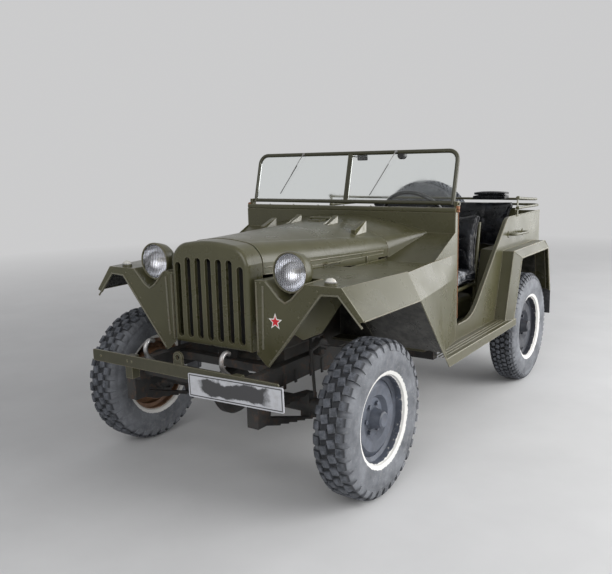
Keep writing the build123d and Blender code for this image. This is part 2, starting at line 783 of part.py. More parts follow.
# Wheels: pressed discs in well-base rims, with hub and brake drum, and the tyres on them.
drum_inner_x = -78
hub_end_x = 78
rim_line = [
    (-rim_width / 2, 219), (-rim_width / 2 + 4, 204), (-30, 203), (-22, 184), (22, 184), (30, 203),
    (rim_width / 2 - 4, 204), (rim_width / 2, 219),
]
disc_line = [(14, 181), (34, 152), (30, 112), (8, 96), (8, 40)]
stud_count = 6
tyre_bead_x = rim_width / 2 - 6


def wheel_solid(has_hub):
    """A wheel about the X axis, its outer side towards +X."""
    rim = band(rim_line, -4)
    disc = band(disc_line, 5)
    solid = revolve(Plane.XY * make_face(Polyline(*rim, close=True)), Axis.X)
    solid += revolve(Plane.XY * make_face(Polyline(*disc, close=True)), Axis.X)
    for place in range(stud_count):
        turn = Rot(360 / stud_count * place, 0, 0)
        nut = Plane(
            origin=(13, bolt_circle_radius, 0), z_dir=(1, 0, 0)
        ) * extrude(RegularPolygon(11, 6), amount=14)
        solid += turn * nut
    if has_hub:
        hub_line = [
            (drum_inner_x + 27, 0), (drum_inner_x + 27, 45), (2, 45), (2, 60), (10, 60), (24, 50),
            (hub_end_x - 18, 40), (hub_end_x - 6, 38), (hub_end_x, 30), (hub_end_x, 0),
        ]
        solid += revolve(Plane.XY * make_face(Polyline(*hub_line, close=True)), Axis.X)
        drum_line = [
            (drum_inner_x, 145), (-16, 145), (-10, 138), (-6, 92), (6, 88), (6, 42), (0, 42), (0, 84),
            (-12, 88), (-18, 138), (drum_inner_x, 138)
        ]
        solid += revolve(Plane.XY * make_face(Polyline(*drum_line, close=True)), Axis.X)
        solid -= rod((drum_inner_x - 10, 0, 0), (spindle_reach + fit_gap, 0, 0), spindle_radius + fit_gap)
    return solid


spindle_reach = 52
tyre_shoulder = 72


def tyre_solid():
    """A tyre about the X axis: beads, bulging sidewalls and a flat-topped tread."""
    bead = 204 + seat_gap
    half = tyre_width / 2
    right = Line((0, 0 + bead), (tyre_bead_x, bead)) + Line((tyre_bead_x, bead), (tyre_bead_x, 222))
    right += ThreePointArc((tyre_bead_x, 222), (half - 0.7, 290), (half - 8, 330))
    right += Line((half - 8, 330), (tyre_shoulder, tyre_radius - 6)) + Line(
        (tyre_shoulder, tyre_radius - 6), (0, tyre_radius)
    )
    half_face = make_face(right + Line((0, tyre_radius), (0, bead)))
    solid = revolve(half_face, Axis.X)
    return solid + mirror(solid, about=Plane.YZ)


wheel_part = wheel_solid(True)
tyre_part = tyre_solid()
left_wheel_at = {"front_left": (half_track, 0), "rear_left": (half_track, wheelbase)}
for name, (x, y) in left_wheel_at.items():
    right_name = name.replace("left", "right")
    placed_wheel = Pos(x, y, tyre_radius) * wheel_part
    placed_tyre = Pos(x, y, tyre_radius) * tyre_part
    save(f"{name}_wheel", placed_wheel)
    save(f"{name}_tyre", placed_tyre)
    save(f"{right_name}_wheel", mirror(placed_wheel, about=Plane.YZ))
    save(f"{right_name}_tyre", mirror(placed_tyre, about=Plane.YZ))

spare_y = body_rear_y + spare_gap + tyre_width / 2
spare_turn = Pos(spare_x, spare_y, spare_centre_z) * Rot(0, 0, 90)
save("spare_tyre", spare_turn * tyre_part)
spare_hub = rod((-tyre_width / 2, 0, 0), (disc_line[3][0], 0, 0), 88)
spare_hub += rod((disc_line[3][0], 0, 0), (40, 0, 0), 16)
save("spare_wheel", spare_turn * (wheel_solid(False) + spare_hub))

# Front and rear axles: tubes with an offset differential; the front one ends in steering balls.
ball_radius = 60
housing_inner = ball_radius + 0.5
housing_outer = 74
plate_x = half_track + drum_inner_x - 9
backplate_radius = 140


def differential(y, nose_sign):
    """The banjo housing with its pinion nose."""
    centre = Pos(-diff_offset, y, tyre_radius)
    profile = [
        (-70, 0), (-70, 46), (-42, differential_radius - 12), (-20, differential_radius),
        (20, differential_radius), (42, differential_radius - 12), (70, 46), (70, 0)
    ]
    body = centre * revolve(Plane.XY * make_face(Polyline(*profile, close=True)), Axis.X)
    nose_start = (-diff_offset, y + nose_sign * (differential_radius - 30), tyre_radius)
    nose_end = (-diff_offset, y + nose_sign * (differential_radius + 34), tyre_radius)
    return body + rod(nose_start, nose_end, 44)


quarter_count = 5
quarter_clamp_y = rail_front_y + 20
quarter_length = -quarter_clamp_y + 20
# columns: height of the pack's root at its clamp, height at the axle
quarter_rows = [(tyre_radius + 112, tyre_radius + 62), (tyre_radius + 70, tyre_radius - 62)]
front_axle = rod((-kingpin_x, 0, tyre_radius), (kingpin_x, 0, tyre_radius), axle_tube_radius)
front_axle += differential(0, 1)
for x in (-kingpin_x, kingpin_x):
    front_axle += Pos(x, 0, tyre_radius) * Sphere(ball_radius)
pad_half = 34
pad_outline = []
for (root_z, axle_z), gap in zip(quarter_rows, (-seat_gap, seat_gap)):
    for y in (-pad_half, pad_half):
        pad_outline.append((y, axle_z + gap + (axle_z - root_z) / -quarter_clamp_y * y))
pad_outline[2:] = reversed(pad_outline[2:])
for piece in both_sides(side_prism(pad_outline, spring_half_track - 26, spring_half_track + 26)):
    front_axle += piece
save("front_axle", front_axle)

rear_axle = rod(
    (-half_track - spindle_reach, wheelbase, tyre_radius),
    (half_track + spindle_reach, wheelbase, tyre_radius), spindle_radius
)
rear_axle += rod(
    (-plate_x - 4, wheelbase, tyre_radius), (plate_x + 4, wheelbase, tyre_radius), axle_tube_radius
)
rear_axle += differential(wheelbase, -1)
for sign in (-1, 1):
    inner, outer = sorted((sign * plate_x, sign * (plate_x + 4)))
    rear_axle += rod((inner, wheelbase, tyre_radius), (outer, wheelbase, tyre_radius), backplate_radius)
    rear_axle += block(
        (sign * spring_half_track - 26, sign * spring_half_track + 26), (wheelbase - 44, wheelbase + 44),
        (tyre_radius - 44, tyre_radius + 46),
    )
save("rear_axle", rear_axle)

# Knuckles: ball housings with spindle, backplate and steering arm.
arm_low_z = tyre_radius - 58
pin_radius = 8
eye_outer = 19
eye_height = 18
rod_z = arm_low_z - 3 - eye_height / 2
mouth_x = -8
plate_low_x = plate_x - kingpin_x
plate_high_x = plate_low_x + 4
spindle_end_x = half_track + spindle_reach - kingpin_x


def on_sphere(radius, x):
    """The point of a circle about the ball's centre at one x."""
    return (x, sqrt(radius**2 - x**2))


spindle_root = (sqrt(housing_outer**2 - spindle_radius**2), spindle_radius)
knuckle_outline = ThreePointArc(
    on_sphere(housing_inner, mouth_x), on_sphere(housing_inner, 42), (housing_inner, 0)
)
knuckle_outline += Polyline(
    (housing_inner, 0), (spindle_end_x, 0), (spindle_end_x, spindle_radius), spindle_root
)
knuckle_outline += ThreePointArc(
    spindle_root, on_sphere(housing_outer, 64), on_sphere(housing_outer, plate_high_x)
)
knuckle_outline += Polyline(
    on_sphere(housing_outer, plate_high_x), (plate_high_x, backplate_radius),
    (plate_low_x, backplate_radius),
    on_sphere(housing_outer, plate_low_x),
)
knuckle_outline += ThreePointArc(
    on_sphere(housing_outer, plate_low_x), on_sphere(housing_outer, 20), on_sphere(housing_outer, mouth_x)
)
knuckle_outline += Line(on_sphere(housing_outer, mouth_x), on_sphere(housing_inner, mouth_x))
knuckle = Pos(kingpin_x, 0, tyre_radius) * revolve(make_face(knuckle_outline), Axis.X)
for end in (-1, 1):
    boss_z = tyre_radius + end * (housing_outer - 5)
    knuckle += rod((kingpin_x, 0, boss_z), (kingpin_x, 0, boss_z + end * 20), 22)
arm = block((kingpin_x - 4, kingpin_x + 22), (46, steer_arm_length), (arm_low_z, arm_low_z + 14))
arm += Pos(kingpin_x, steer_arm_length, arm_low_z) * extrude(Circle(18), amount=14)
knuckle += arm
pin = rod(
    (kingpin_x, steer_arm_length, arm_low_z - eye_height - 8), (kingpin_x, steer_arm_length, arm_low_z + 2),
    pin_radius
)
save("left_knuckle", knuckle + pin)
save("right_knuckle", mirror(knuckle + pin, about=Plane.YZ))

track_rod = rod((-kingpin_x, steer_arm_length, rod_z), (kingpin_x, steer_arm_length, rod_z), 10)
for x in (-kingpin_x, kingpin_x):
    rod_eye = extrude(Circle(eye_outer), amount=eye_height)
    track_rod += Pos(x, steer_arm_length, rod_z - eye_height / 2) * rod_eye
    track_rod -= Pos(x, steer_arm_length, rod_z - 20) * extrude(Circle(pin_radius + fit_gap), amount=40)
save("track_rod", track_rod)

# Leaf springs: two quarter packs a side in front, one arched pack a side behind.


def leaf(half_length, camber, y, z):
    """One arched leaf, seen from the side."""
    rise = camber * (half_length / (rear_spring_length / 2)) ** 2
    low = ThreePointArc((y - half_length, z + rise), (y, z), (y + half_length, z + rise))
    high = ThreePointArc(
        (y + half_length, z + rise + leaf_thickness), (y, z + leaf_thickness),
        (y - half_length, z + rise + leaf_thickness)
    )
    outline = low + Line(low @ 1, high @ 0) + high + Line(high @ 1, low @ 0)
    return make_face(outline)


spring_low_z = tyre_radius + 46
pack = None
for place in range(leaf_count):
    half_length = rear_spring_length / 2 * (0.28 + 0.72 * place / (leaf_count - 1))
    face = leaf(half_length, spring_camber, wheelbase, spring_low_z + place * leaf_thickness)
    layer = extrude(
        Plane.YZ.offset(spring_half_track - spring_width / 2) * face, amount=spring_width, dir=(1, 0, 0)
    )
    pack = layer if pack is None else pack + layer
main_z = spring_low_z + (leaf_count - 1) * leaf_thickness
for sign in (-1, 1):
    y = wheelbase + sign * (rear_spring_length / 2 - 6)
    z = main_z + spring_camber + leaf_thickness / 2
    eye_rod = rod(
        (rail_half_span + rail_width / 2, y, z), (spring_half_track + spring_width / 2 + 8, y, z), 15
    )
    pack += eye_rod

front_pack = None
for root_z, axle_z in quarter_rows:
    slope = degrees(atan2(axle_z - root_z, -quarter_clamp_y))
    stack = None
    for place in range(quarter_count):
        length = quarter_length * (1 - 0.15 * place)
        layer = block(
            (-spring_width / 2, spring_width / 2), (0, length),
            (-leaf_thickness * (place + 1), -leaf_thickness * place)
        )
        stack = layer if stack is None else stack + layer
    lift = leaf_thickness if axle_z > tyre_radius else 0
    stack = Pos(spring_half_track, quarter_clamp_y, root_z + lift) * Rot(slope, 0, 0) * stack
    front_pack = stack if front_pack is None else front_pack + stack
clamp_high = rail_high_top - 30
clamp_low = quarter_rows[1][0] - 50
clamp_outline = [
    (quarter_clamp_y - 12, clamp_high), (quarter_clamp_y - 12, clamp_low),
    (quarter_clamp_y + 70, clamp_low), (quarter_clamp_y + 112, clamp_high),
]
front_pack += side_prism(
    clamp_outline, rail_half_span + rail_width / 2, spring_half_track + spring_width / 2 + 6
)
save("leaf_springs", *both_sides(front_pack), *both_sides(pack))

# Propeller shafts, exhaust and fuel tank.
prop_radius = 24
joint_radius = 40
nose_reach = differential_radius + 34
transfer_z = 446


def shaft(start, end):
    """A propeller shaft with a flange and a universal joint at each end."""
    first, last = Vector(*start), Vector(*end)
    flange = Vector(0, 10, 0)
    knuckle_in, knuckle_out = first + Vector(0, 34, 0), last - Vector(0, 34, 0)
    bar = rod(knuckle_in, knuckle_out, prop_radius)
    bar += rod(first, first + flange, joint_radius) + Pos(*knuckle_in) * Sphere(joint_radius - 10)
    bar += rod(last - flange, last, joint_radius) + Pos(*knuckle_out) * Sphere(joint_radius - 10)
    return bar


rear_shaft = shaft(
    (-diff_offset, gearbox_rear_y, transfer_z), (-diff_offset, wheelbase - nose_reach, tyre_radius)
)
front_output_y = clutch_rear_y - 100
front_output_z = transfer_z - 72
front_shaft = shaft((-diff_offset, nose_reach, tyre_radius), (-diff_offset, front_output_y, front_output_z))
transfer_drop = block(
    (-diff_offset - 50, -diff_offset + 50), (front_output_y, clutch_rear_y),
    (front_output_z - 42, gearbox_low_z)
)
save("propeller_shafts", rear_shaft, front_shaft + transfer_drop)

pipe_radius = 19
pipe_x = 196
silencer_z = 392
silencer_radius = 58
pipe_points = [
    (122, 330, 640), (pipe_x, 330, 640), (pipe_x, 420, 420), (pipe_x, 1250, silencer_z),
]
exhaust = tube(pipe_points, pipe_radius, 32)
exhaust += rod((pipe_x, 1240, silencer_z), (pipe_x, 1700, silencer_z), silencer_radius)
tail_points = [
    (pipe_x, 1690, silencer_z), (pipe_x, 1800, silencer_z), (pipe_x, 1960, 452), (pipe_x, 2240, 452),
    (pipe_x, 2340, 400),
]
exhaust += tube(tail_points, pipe_radius, 60)
for y in (1300, 1640):
    exhaust += block(
        (pipe_x - 12, pipe_x + 12), (y - 3, y + 3), (silencer_z + silencer_radius - 6, floor_low_z)
    )
save("exhaust", exhaust)

# Windscreen: a bent tube frame on two trunnions, with a centre post and two panes.
lean_turn = Pos(0, screen_hinge_y, screen_hinge_z) * Rot(-screen_lean, 0, 0)
post_low = -6
post_half = 15
frame_path = [
    (-screen_half, 0, post_low), (-screen_half, 0, screen_height), (screen_half, 0, screen_height),
    (screen_half, 0, post_low),
]
screen = tube(frame_path, screen_tube, 56)
screen += rod((-screen_half, 0, 4), (screen_half, 0, 4), screen_tube - 1)
screen += block((-post_half, post_half), (-8, 8), (4, screen_height))
for sign in (-1, 1):
    low, high = sorted((sign * screen_half, sign * (body_half + 6)))
    screen += rod((low, 0, 0), (high, 0, 0), trunnion_radius)
save("windscreen_frame", lean_turn * screen)
pane_gap = 0.3
pane_thickness = 5
sill_z = 4
pane = block(
    (post_half + pane_gap, screen_half - screen_tube - pane_gap), (-pane_thickness / 2, pane_thickness / 2),
    (sill_z + screen_tube + pane_gap, screen_height - screen_tube - pane_gap),
)
pane_edges = pane.edges().filter_by(Axis.Y)
pane = fillet(pane_edges.group_by(Axis.X)[-1].group_by(Axis.Z)[-1], 46)
save("windscreen_glass", *[lean_turn * solid for solid in both_sides(pane)])

# Dashboard with its instrument cluster, and the steering column, pedals and levers.
dash_y = cowl_y + 14
dash_low_z = 1120
dash = block((-inner_half + 8, inner_half - 8), (dash_y, dash_y + sheet), (dash_low_z, cowl_z - 2))
dash_shelf = block(
    (-inner_half + 8, inner_half - 8), (bulkhead_y + sheet, dash_y), (dash_low_z, dash_low_z + sheet)
)
dash += dash_shelf
gauge_row = [(-70, 52), (70, 52), (-160, 30), (160, 30), (0, 24)]
for x, radius in gauge_row:
    dash += rod((x, dash_y, 1186), (x, dash_y + 12, 1186), radius)
save("dashboard", dash)

wheel_centre = (370, 1205, 1160)
column_lean = 30
rim_radius = 205
grip_radius = 12
column_frame = Pos(*wheel_centre) * Rot(column_lean - 90, 0, 0)
steering = column_frame * Torus(rim_radius, grip_radius)
spoke_count = 3
for place in range(spoke_count):
    turn = Rot(0, 0, 90 + 360 / spoke_count * place)
    steering += column_frame * turn * rod((20, 0, -34), (rim_radius - 4, 0, 0), 8)
hub_low = -64
steering += column_frame * Pos(0, 0, hub_low) * extrude(Circle(30), amount=44)
shaft_reach = 66
shaft_radius = 9
steering += column_frame * Pos(0, 0, hub_low - shaft_reach) * extrude(
    Circle(shaft_radius), amount=shaft_reach + 10
)
save("steering_wheel", steering)
column_length = 800
column = column_frame * Pos(0, 0, hub_low - 6 - column_length) * extrude(Circle(24), amount=column_length)
column -= block((200, 600), (0, firewall_y + sheet), (300, 1100))
shaft_bore = extrude(Circle(shaft_radius + fit_gap), amount=shaft_reach)
column -= column_frame * Pos(0, 0, hub_low - shaft_reach - 6) * shaft_bore
column_bracket = block(
    (wheel_centre[0] - 34, wheel_centre[0] + 34), (dash_y + sheet, dash_y + 34), (1048, 1140)
)
column_bracket -= column_frame * Pos(0, 0, -700) * extrude(Circle(23), amount=1000)
pedals = []
pedal_y = firewall_y + 46
pedal_z = 716
for x in (190, 275, 452):
    pad = block((x - 28, x + 28), (pedal_y, pedal_y + 8), (pedal_z - 32, pedal_z + 32))
    pedals.append(pad + rod((x, pedal_y + 6, pedal_z - 20), (x, pedal_y + 6, floor_z), 9))
levers = []
lever_rows = [
    ((0, 900, tunnel_top_z), (10, 1020, 1040), 10, 24), ((70, 960, tunnel_top_z), (84, 1030, 930), 8, 16),
    ((-70, 960, tunnel_top_z), (-60, 1030, 930), 8, 16),
]
boot_height = 22
for foot, top, radius, knob in lever_rows:
    root = (foot[0], foot[1], foot[2] + boot_height - 2)
    boot = rod(foot, (foot[0], foot[1], foot[2] + boot_height), radius + 14)
    levers.append(boot + rod(root, top, radius) + Pos(*top) * Sphere(knob))
save("driver_controls", column + column_bracket, *pedals, *levers)

# Seats: two front seats on tube legs with the fuel tank below the driver's, and a rear bench.
seat_mid_x = 415
cushion_half = 215
cushion_front_y = 1190
cushion_rear_y = 1590
cushion_low_z = 748
cushion_top_z = 842
backrest_top_z = 1182
backrest_tilt = 11
backrest_thickness = 88
leg_radius = 11
tank_half = 172
tank = block((seat_mid_x - tank_half, seat_mid_x + tank_half), (1250, 1560), (floor_z, 672))
save("fuel_tank", fillet(tank.edges().filter_by(Axis.Y), 28))

base_z = cushion_low_z - leg_radius - seat_gap
leg_half = cushion_half - 28
leg_rows = (cushion_front_y + 14, cushion_rear_y - 14)
cross_radius = leg_radius - 2
seat_frame = None
for x in (seat_mid_x - leg_half, seat_mid_x + leg_half):
    front_leg, rear_leg = leg_rows
    hoop = [(x, front_leg, floor_z), (x, front_leg, base_z), (x, rear_leg, base_z), (x, rear_leg, floor_z)]
    side_hoop = tube(hoop, leg_radius, 24)
    for y in leg_rows:
        side_hoop += rod((x, y, floor_z), (x, y, floor_z + 6), leg_radius + 6)
    seat_frame = side_hoop if seat_frame is None else seat_frame + side_hoop
for y in (leg_rows[0] + 40, leg_rows[1] - 40):
    seat_frame += rod((seat_mid_x - leg_half, y, base_z), (seat_mid_x + leg_half, y, base_z), cross_radius)
back_foot = (cushion_rear_y - 14, base_z)
back_rise = backrest_top_z - 60 - base_z
back_lean = back_rise * sin(radians(backrest_tilt))
for x in (seat_mid_x - leg_half, seat_mid_x + leg_half):
    seat_frame += rod(
        (x, back_foot[0], back_foot[1] - 12), (x, back_foot[0] + back_lean, back_foot[1] + back_rise),
        leg_radius
    )

cushion = block(
    (seat_mid_x - cushion_half, seat_mid_x + cushion_half), (cushion_front_y, cushion_rear_y - 34),
    (cushion_low_z, cushion_top_z)
)
cushion = fillet(cushion.edges(), 26)
backrest = block(
    (seat_mid_x - cushion_half, seat_mid_x + cushion_half), (-backrest_thickness, 0),
    (0, backrest_top_z - cushion_top_z + 56)
)
backrest = fillet(backrest.edges(), 26)
rest_y = back_foot[0] - leg_radius - 1.8 + (cushion_top_z - 60 - base_z) * sin(radians(backrest_tilt))
backrest = Pos(0, rest_y, cushion_top_z - 60) * Rot(-backrest_tilt, 0, 0) * backrest
cushion -= backrest
save("front_cushions", *both_sides(cushion))
save("front_backrests", *both_sides(backrest))

bench_half = box_inner_x - sheet - 8
bench_front_y = 1900
bench_rear_y = 2330
bench_low_z = 742
bench_top_z = 860
bench = fillet(
    block((-bench_half, bench_half), (bench_front_y, bench_rear_y), (bench_low_z, bench_top_z)).edges(), 26
)
bench_back = fillet(block((-bench_half, bench_half), (-84, 0), (0, 350)).edges(), 26)
bench_back = Pos(0, 2403, 868) * Rot(-4, 0, 0) * bench_back
save("rear_bench", bench, bench_back)
bench_base = block(
    (-bench_half, bench_half), (bench_front_y + 30, bench_rear_y - 30), (floor_z, bench_low_z - seat_gap)
)
bench_base -= block(
    (-bench_half + 20, bench_half - 20), (bench_front_y + 29, bench_rear_y - 50),
    (floor_z + 30, bench_low_z - 20)
)
back_plate = block((-bench_half, bench_half), (2424, 2432), (floor_z, 1160))
save("seat_frames", *both_sides(seat_frame), bench_base, back_plate)

# Stowed hood bows with their side brackets, and the rear grab handles.
bow_radius = 9
bow_x = body_half + 4
bow_front_y = 1992
# columns: rear y, z in front, z behind
bow_rows = [(body_rear_y - 29, 1258, 1222), (body_rear_y + 5, 1192, 1182)]
bows = None
for rear_y, front_z, rear_z in bow_rows:
    path = [
        (bow_x, bow_front_y, front_z), (bow_x, rear_y, rear_z), (-bow_x, rear_y, rear_z),
        (-bow_x, bow_front_y, front_z)
    ]
    hoop = tube(path, bow_radius, 90)
    bows = hoop if bows is None else bows + hoop
for piece in both_sides(
    block(
        (body_half - wall, bow_x + 12), (bow_front_y - 16, bow_front_y + 12),
        (body_top_z, bow_rows[0][1] + 14)
    )
):
    bows += piece
save("hood_bows", bows)

handle_z = 1030
handle_line = [
    (body_half, 1840, handle_z), (body_half + 42, 1840, handle_z), (body_half + 42, 2120, handle_z - 8),
    (body_half, 2120, handle_z - 8),
]
handle = tube(handle_line, 8, 24)
for y, z in ((1840, handle_z), (2120, handle_z - 8)):
    handle += rod((body_half, y, z), (body_half + 4, y, z), 22)
save("grab_handles", *both_sides(handle))
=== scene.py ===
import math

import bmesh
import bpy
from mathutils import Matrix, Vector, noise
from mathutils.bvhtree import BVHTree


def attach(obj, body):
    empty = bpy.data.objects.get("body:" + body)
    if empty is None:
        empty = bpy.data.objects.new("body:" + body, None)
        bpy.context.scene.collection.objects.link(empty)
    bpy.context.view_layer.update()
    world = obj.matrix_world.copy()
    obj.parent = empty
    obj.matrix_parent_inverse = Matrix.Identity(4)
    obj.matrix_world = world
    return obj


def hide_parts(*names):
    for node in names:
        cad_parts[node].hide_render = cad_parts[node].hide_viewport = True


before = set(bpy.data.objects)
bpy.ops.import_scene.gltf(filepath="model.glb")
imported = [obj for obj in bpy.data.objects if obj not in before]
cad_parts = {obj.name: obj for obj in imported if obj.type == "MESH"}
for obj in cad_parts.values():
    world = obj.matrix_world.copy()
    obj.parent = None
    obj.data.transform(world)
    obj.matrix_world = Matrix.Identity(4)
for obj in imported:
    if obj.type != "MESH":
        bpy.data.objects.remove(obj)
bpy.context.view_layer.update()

# %% [markdown]
# # An open army 4x4 car, finished in Blender
# The construction model gives every sheet, tube and axle at its real place. This file adds what
# paint, rubber, leather and glass look like, and the pieces that a drawing office leaves out:
# tread, stuffed seats, wipers, latches and beads. Everything is in metres, in one frame: the car's
# front faces -Y, +X is its left side, and the ground is at Z = 0.

noise.seed_set(41)

# %% [markdown]
# ## Camera, floor and light
# The photograph was taken from the car's front left at eye height, with a slightly wide lens. The
# camera's place and turn were fitted to edges whose real places the construction model knows. The
# car stands under a roof whose open side is on the car's left, so the world is darker overhead and
# bright towards +X. Two wide softboxes stand on that side, and a weaker one stands in front.

# %% Camera
front_axle_y = -1.1485
lens_place = Vector((2.278, -2.738 + front_axle_y, 1.546))
heading, dip, bank = math.radians(34.66), math.radians(10.14), math.radians(-1.4)
forward = Vector((-math.sin(heading) * math.cos(dip), math.cos(heading) * math.cos(dip), -math.sin(dip)))
level_right = Vector((math.cos(heading), math.sin(heading), 0))
level_up = level_right.cross(forward)
right = level_right * math.cos(bank) + level_up * math.sin(bank)
up = -level_right * math.sin(bank) + level_up * math.cos(bank)
camera_data = bpy.data.cameras.new("camera")
camera_data.sensor_width = 36
camera_data.lens = 42.1
camera_data.clip_start = 0.05
camera = bpy.data.objects.new("camera", camera_data)
bpy.context.scene.collection.objects.link(camera)
turn = Matrix((right, up, -forward)).transposed().to_4x4()
camera.matrix_world = Matrix.Translation(lens_place) @ turn
bpy.context.scene.camera = camera
print("camera at", tuple(round(v, 3) for v in lens_place))

# %% [markdown]
# ## Small helpers for node trees
# A material is a graph of nodes. `place_node` adds one node, sets its options, and then either
# fills each input with a value or links it to another node's output, which keeps every material
# below readable from its inputs to its shader.

# %% Node helpers
def place_node(tree, kind, inputs=None, **options):
    """Add a node, set its options, and fill or link its inputs."""
    made = tree.nodes.new(kind)
    for name, value in options.items():
        setattr(made, name, value)
    for name, value in (inputs or {}).items():
        if isinstance(value, bpy.types.NodeSocket):
            tree.links.new(value, made.inputs[name])
        else:
            made.inputs[name].default_value = value
    return made


def blend_colour(tree, factor, first, second, how="MIX"):
    """Mix two colours, each a link or an (r, g, b)."""
    fix = [c if isinstance(c, bpy.types.NodeSocket) else (*c, 1) for c in (first, second)]
    made = place_node(
        tree, "ShaderNodeMix", {0: factor, 6: fix[0], 7: fix[1]}, data_type="RGBA", blend_type=how
    )
    return made.outputs[2]


def span(tree, value, low, high, to_low=0.0, to_high=1.0):
    """Map a value's span onto another, held at both ends."""
    made = place_node(
        tree, "ShaderNodeMapRange", {0: value, 1: low, 2: high, 3: to_low, 4: to_high}, clamp=True)
    return made.outputs[0]


def sums(tree, how, first, second=0.0):
    """One arithmetic step."""
    return place_node(tree, "ShaderNodeMath", {0: first, 1: second}, operation=how).outputs[0]


def mottle(tree, scale, detail=4.0, rough=0.6, stretch=None):
    """Cloudy noise on object coordinates; stretch draws it out along an axis."""
    where = place_node(tree, "ShaderNodeTexCoord").outputs["Object"]
    if stretch:
        where = place_node(tree, "ShaderNodeMapping", {"Vector": where, "Scale": stretch}).outputs[0]
    return place_node(
        tree, "ShaderNodeTexNoise",
        {"Vector": where, "Scale": scale, "Detail": detail, "Roughness": rough}).outputs["Fac"]


def new_group(name, inputs, outputs):
    """A shader node group with named inputs (with defaults) and outputs."""
    group = bpy.data.node_groups.new(name, "ShaderNodeTree")
    for label, kind, default in inputs:
        group.interface.new_socket(name=label, in_out="INPUT", socket_type=kind).default_value = default
    for label, kind in outputs:
        group.interface.new_socket(name=label, in_out="OUTPUT", socket_type=kind)
    return group, group.nodes.new("NodeGroupInput"), group.nodes.new("NodeGroupOutput")


def use_group(tree, group, **inputs):
    """Place a group in a material and set its inputs by name."""
    made = tree.nodes.new("ShaderNodeGroup")
    made.node_tree = group
    for name, value in inputs.items():
        socket = made.inputs[name.replace("_", " ").capitalize()]
        if isinstance(value, bpy.types.NodeSocket):
            tree.links.new(value, socket)
        else:
            socket.default_value = value
    return made.outputs


def fresh_material(name):
    """A material with an empty tree and its output node."""
    material = bpy.data.materials.new(name)
    material.use_nodes = True
    material.node_tree.nodes.clear()
    return material, material.node_tree


def finish_shader(tree, colour, roughness, bump=None, strength=0.3, distance=0.001, **plain):
    """The Principled shader: colour and roughness may be links, plain values sit on its own sockets."""
    inputs = {"Base Color": colour if isinstance(colour, bpy.types.NodeSocket) else (*colour, 1),
              "Roughness": roughness}
    if bump is not None:
        inputs["Normal"] = place_node(
            tree, "ShaderNodeBump", {"Height": bump, "Strength": strength, "Distance": distance}).outputs[0]
    for name, value in plain.items():
        inputs[name.replace("_", " ")] = value
    shader = place_node(tree, "ShaderNodeBsdfPrincipled", inputs)
    out = tree.nodes.new("ShaderNodeOutputMaterial")
    tree.links.new(shader.outputs[0], out.inputs[0])
    return shader


# %% [markdown]
# The floor is a plain pale sheet. Seen by the camera, the world is a pale backdrop, and the same
# shade is shown to metal and glass, so that they reflect what is seen behind them. Far off, the
# floor fades into that shade too, so that no line shows where it ends.

# %% Floor, world and lamps
floor_mesh = bpy.data.meshes.new("studio_floor")
floor_shape = bmesh.new()
bmesh.ops.create_grid(floor_shape, x_segments=1, y_segments=1, size=40)
floor_shape.to_mesh(floor_mesh)
floor_shape.free()
floor = bpy.data.objects.new("studio_floor", floor_mesh)
bpy.context.scene.collection.objects.link(floor)
floor_material, floor_tree = fresh_material("pale floor")
floor_tone = span(floor_tree, mottle(floor_tree, 1.4), 0.3, 0.7, 0.62, 0.68)
floor_colour = place_node(
    floor_tree, "ShaderNodeCombineColor", {0: floor_tone, 1: floor_tone, 2: floor_tone}
)
floor_shader = finish_shader(floor_tree, floor_colour.outputs[0], 0.75)
floor_where = place_node(floor_tree, "ShaderNodeTexCoord").outputs["Object"]
far_off = span(
    floor_tree,
    place_node(floor_tree, "ShaderNodeVectorMath", {0: floor_where}, operation="LENGTH").outputs["Value"],
    3.2, 10.0
)
floor_ray = place_node(floor_tree, "ShaderNodeLightPath").outputs
floor_seen = sums(floor_tree, "MAXIMUM", floor_ray["Is Camera Ray"], floor_ray["Is Glossy Ray"])
haze = place_node(floor_tree, "ShaderNodeEmission", {"Color": (0.60, 0.60, 0.605, 1), "Strength": 1.0})
faded = place_node(
    floor_tree, "ShaderNodeMixShader",
    {0: sums(floor_tree, "MULTIPLY", far_off, floor_seen), 1: floor_shader.outputs[0], 2: haze.outputs[0]}
)
floor_output = [node for node in floor_tree.nodes if node.type == "OUTPUT_MATERIAL"][0]
floor_tree.links.new(faded.outputs[0], floor_output.inputs[0])
floor_mesh.materials.append(floor_material)

world = bpy.data.worlds.new("overcast sky")
bpy.context.scene.world = world
world.use_nodes = True
world.node_tree.nodes.clear()
sky_tree = world.node_tree
ray = place_node(sky_tree, "ShaderNodeLightPath").outputs
seen = sums(
    sky_tree, "MAXIMUM", sums(sky_tree, "MAXIMUM", ray["Is Camera Ray"], ray["Is Transmission Ray"]),
    ray["Is Glossy Ray"]
)
lift = place_node(
    sky_tree, "ShaderNodeSeparateXYZ", {0: place_node(sky_tree, "ShaderNodeTexCoord").outputs["Generated"]}
)
open_side = span(
    sky_tree,
    sums(
        sky_tree, "ADD", sums(sky_tree, "MULTIPLY", lift.outputs[0], 0.85),
        sums(sky_tree, "MULTIPLY", lift.outputs[1], 0.5)
    ),
    -0.5, 1.0
)
sky_colour = blend_colour(sky_tree, open_side, (0.26, 0.262, 0.27), (1.16, 1.17, 1.20))
overhead = span(sky_tree, lift.outputs[2], 0.28, 0.8)
sky_colour = blend_colour(sky_tree, overhead, sky_colour, (0.23, 0.232, 0.24))
shown_colour = blend_colour(sky_tree, seen, sky_colour, (0.60, 0.60, 0.605))
glow = place_node(sky_tree, "ShaderNodeBackground", {"Color": shown_colour, "Strength": 1.0})
sky_out = sky_tree.nodes.new("ShaderNodeOutputWorld")
sky_tree.links.new(glow.outputs[0], sky_out.inputs[0])

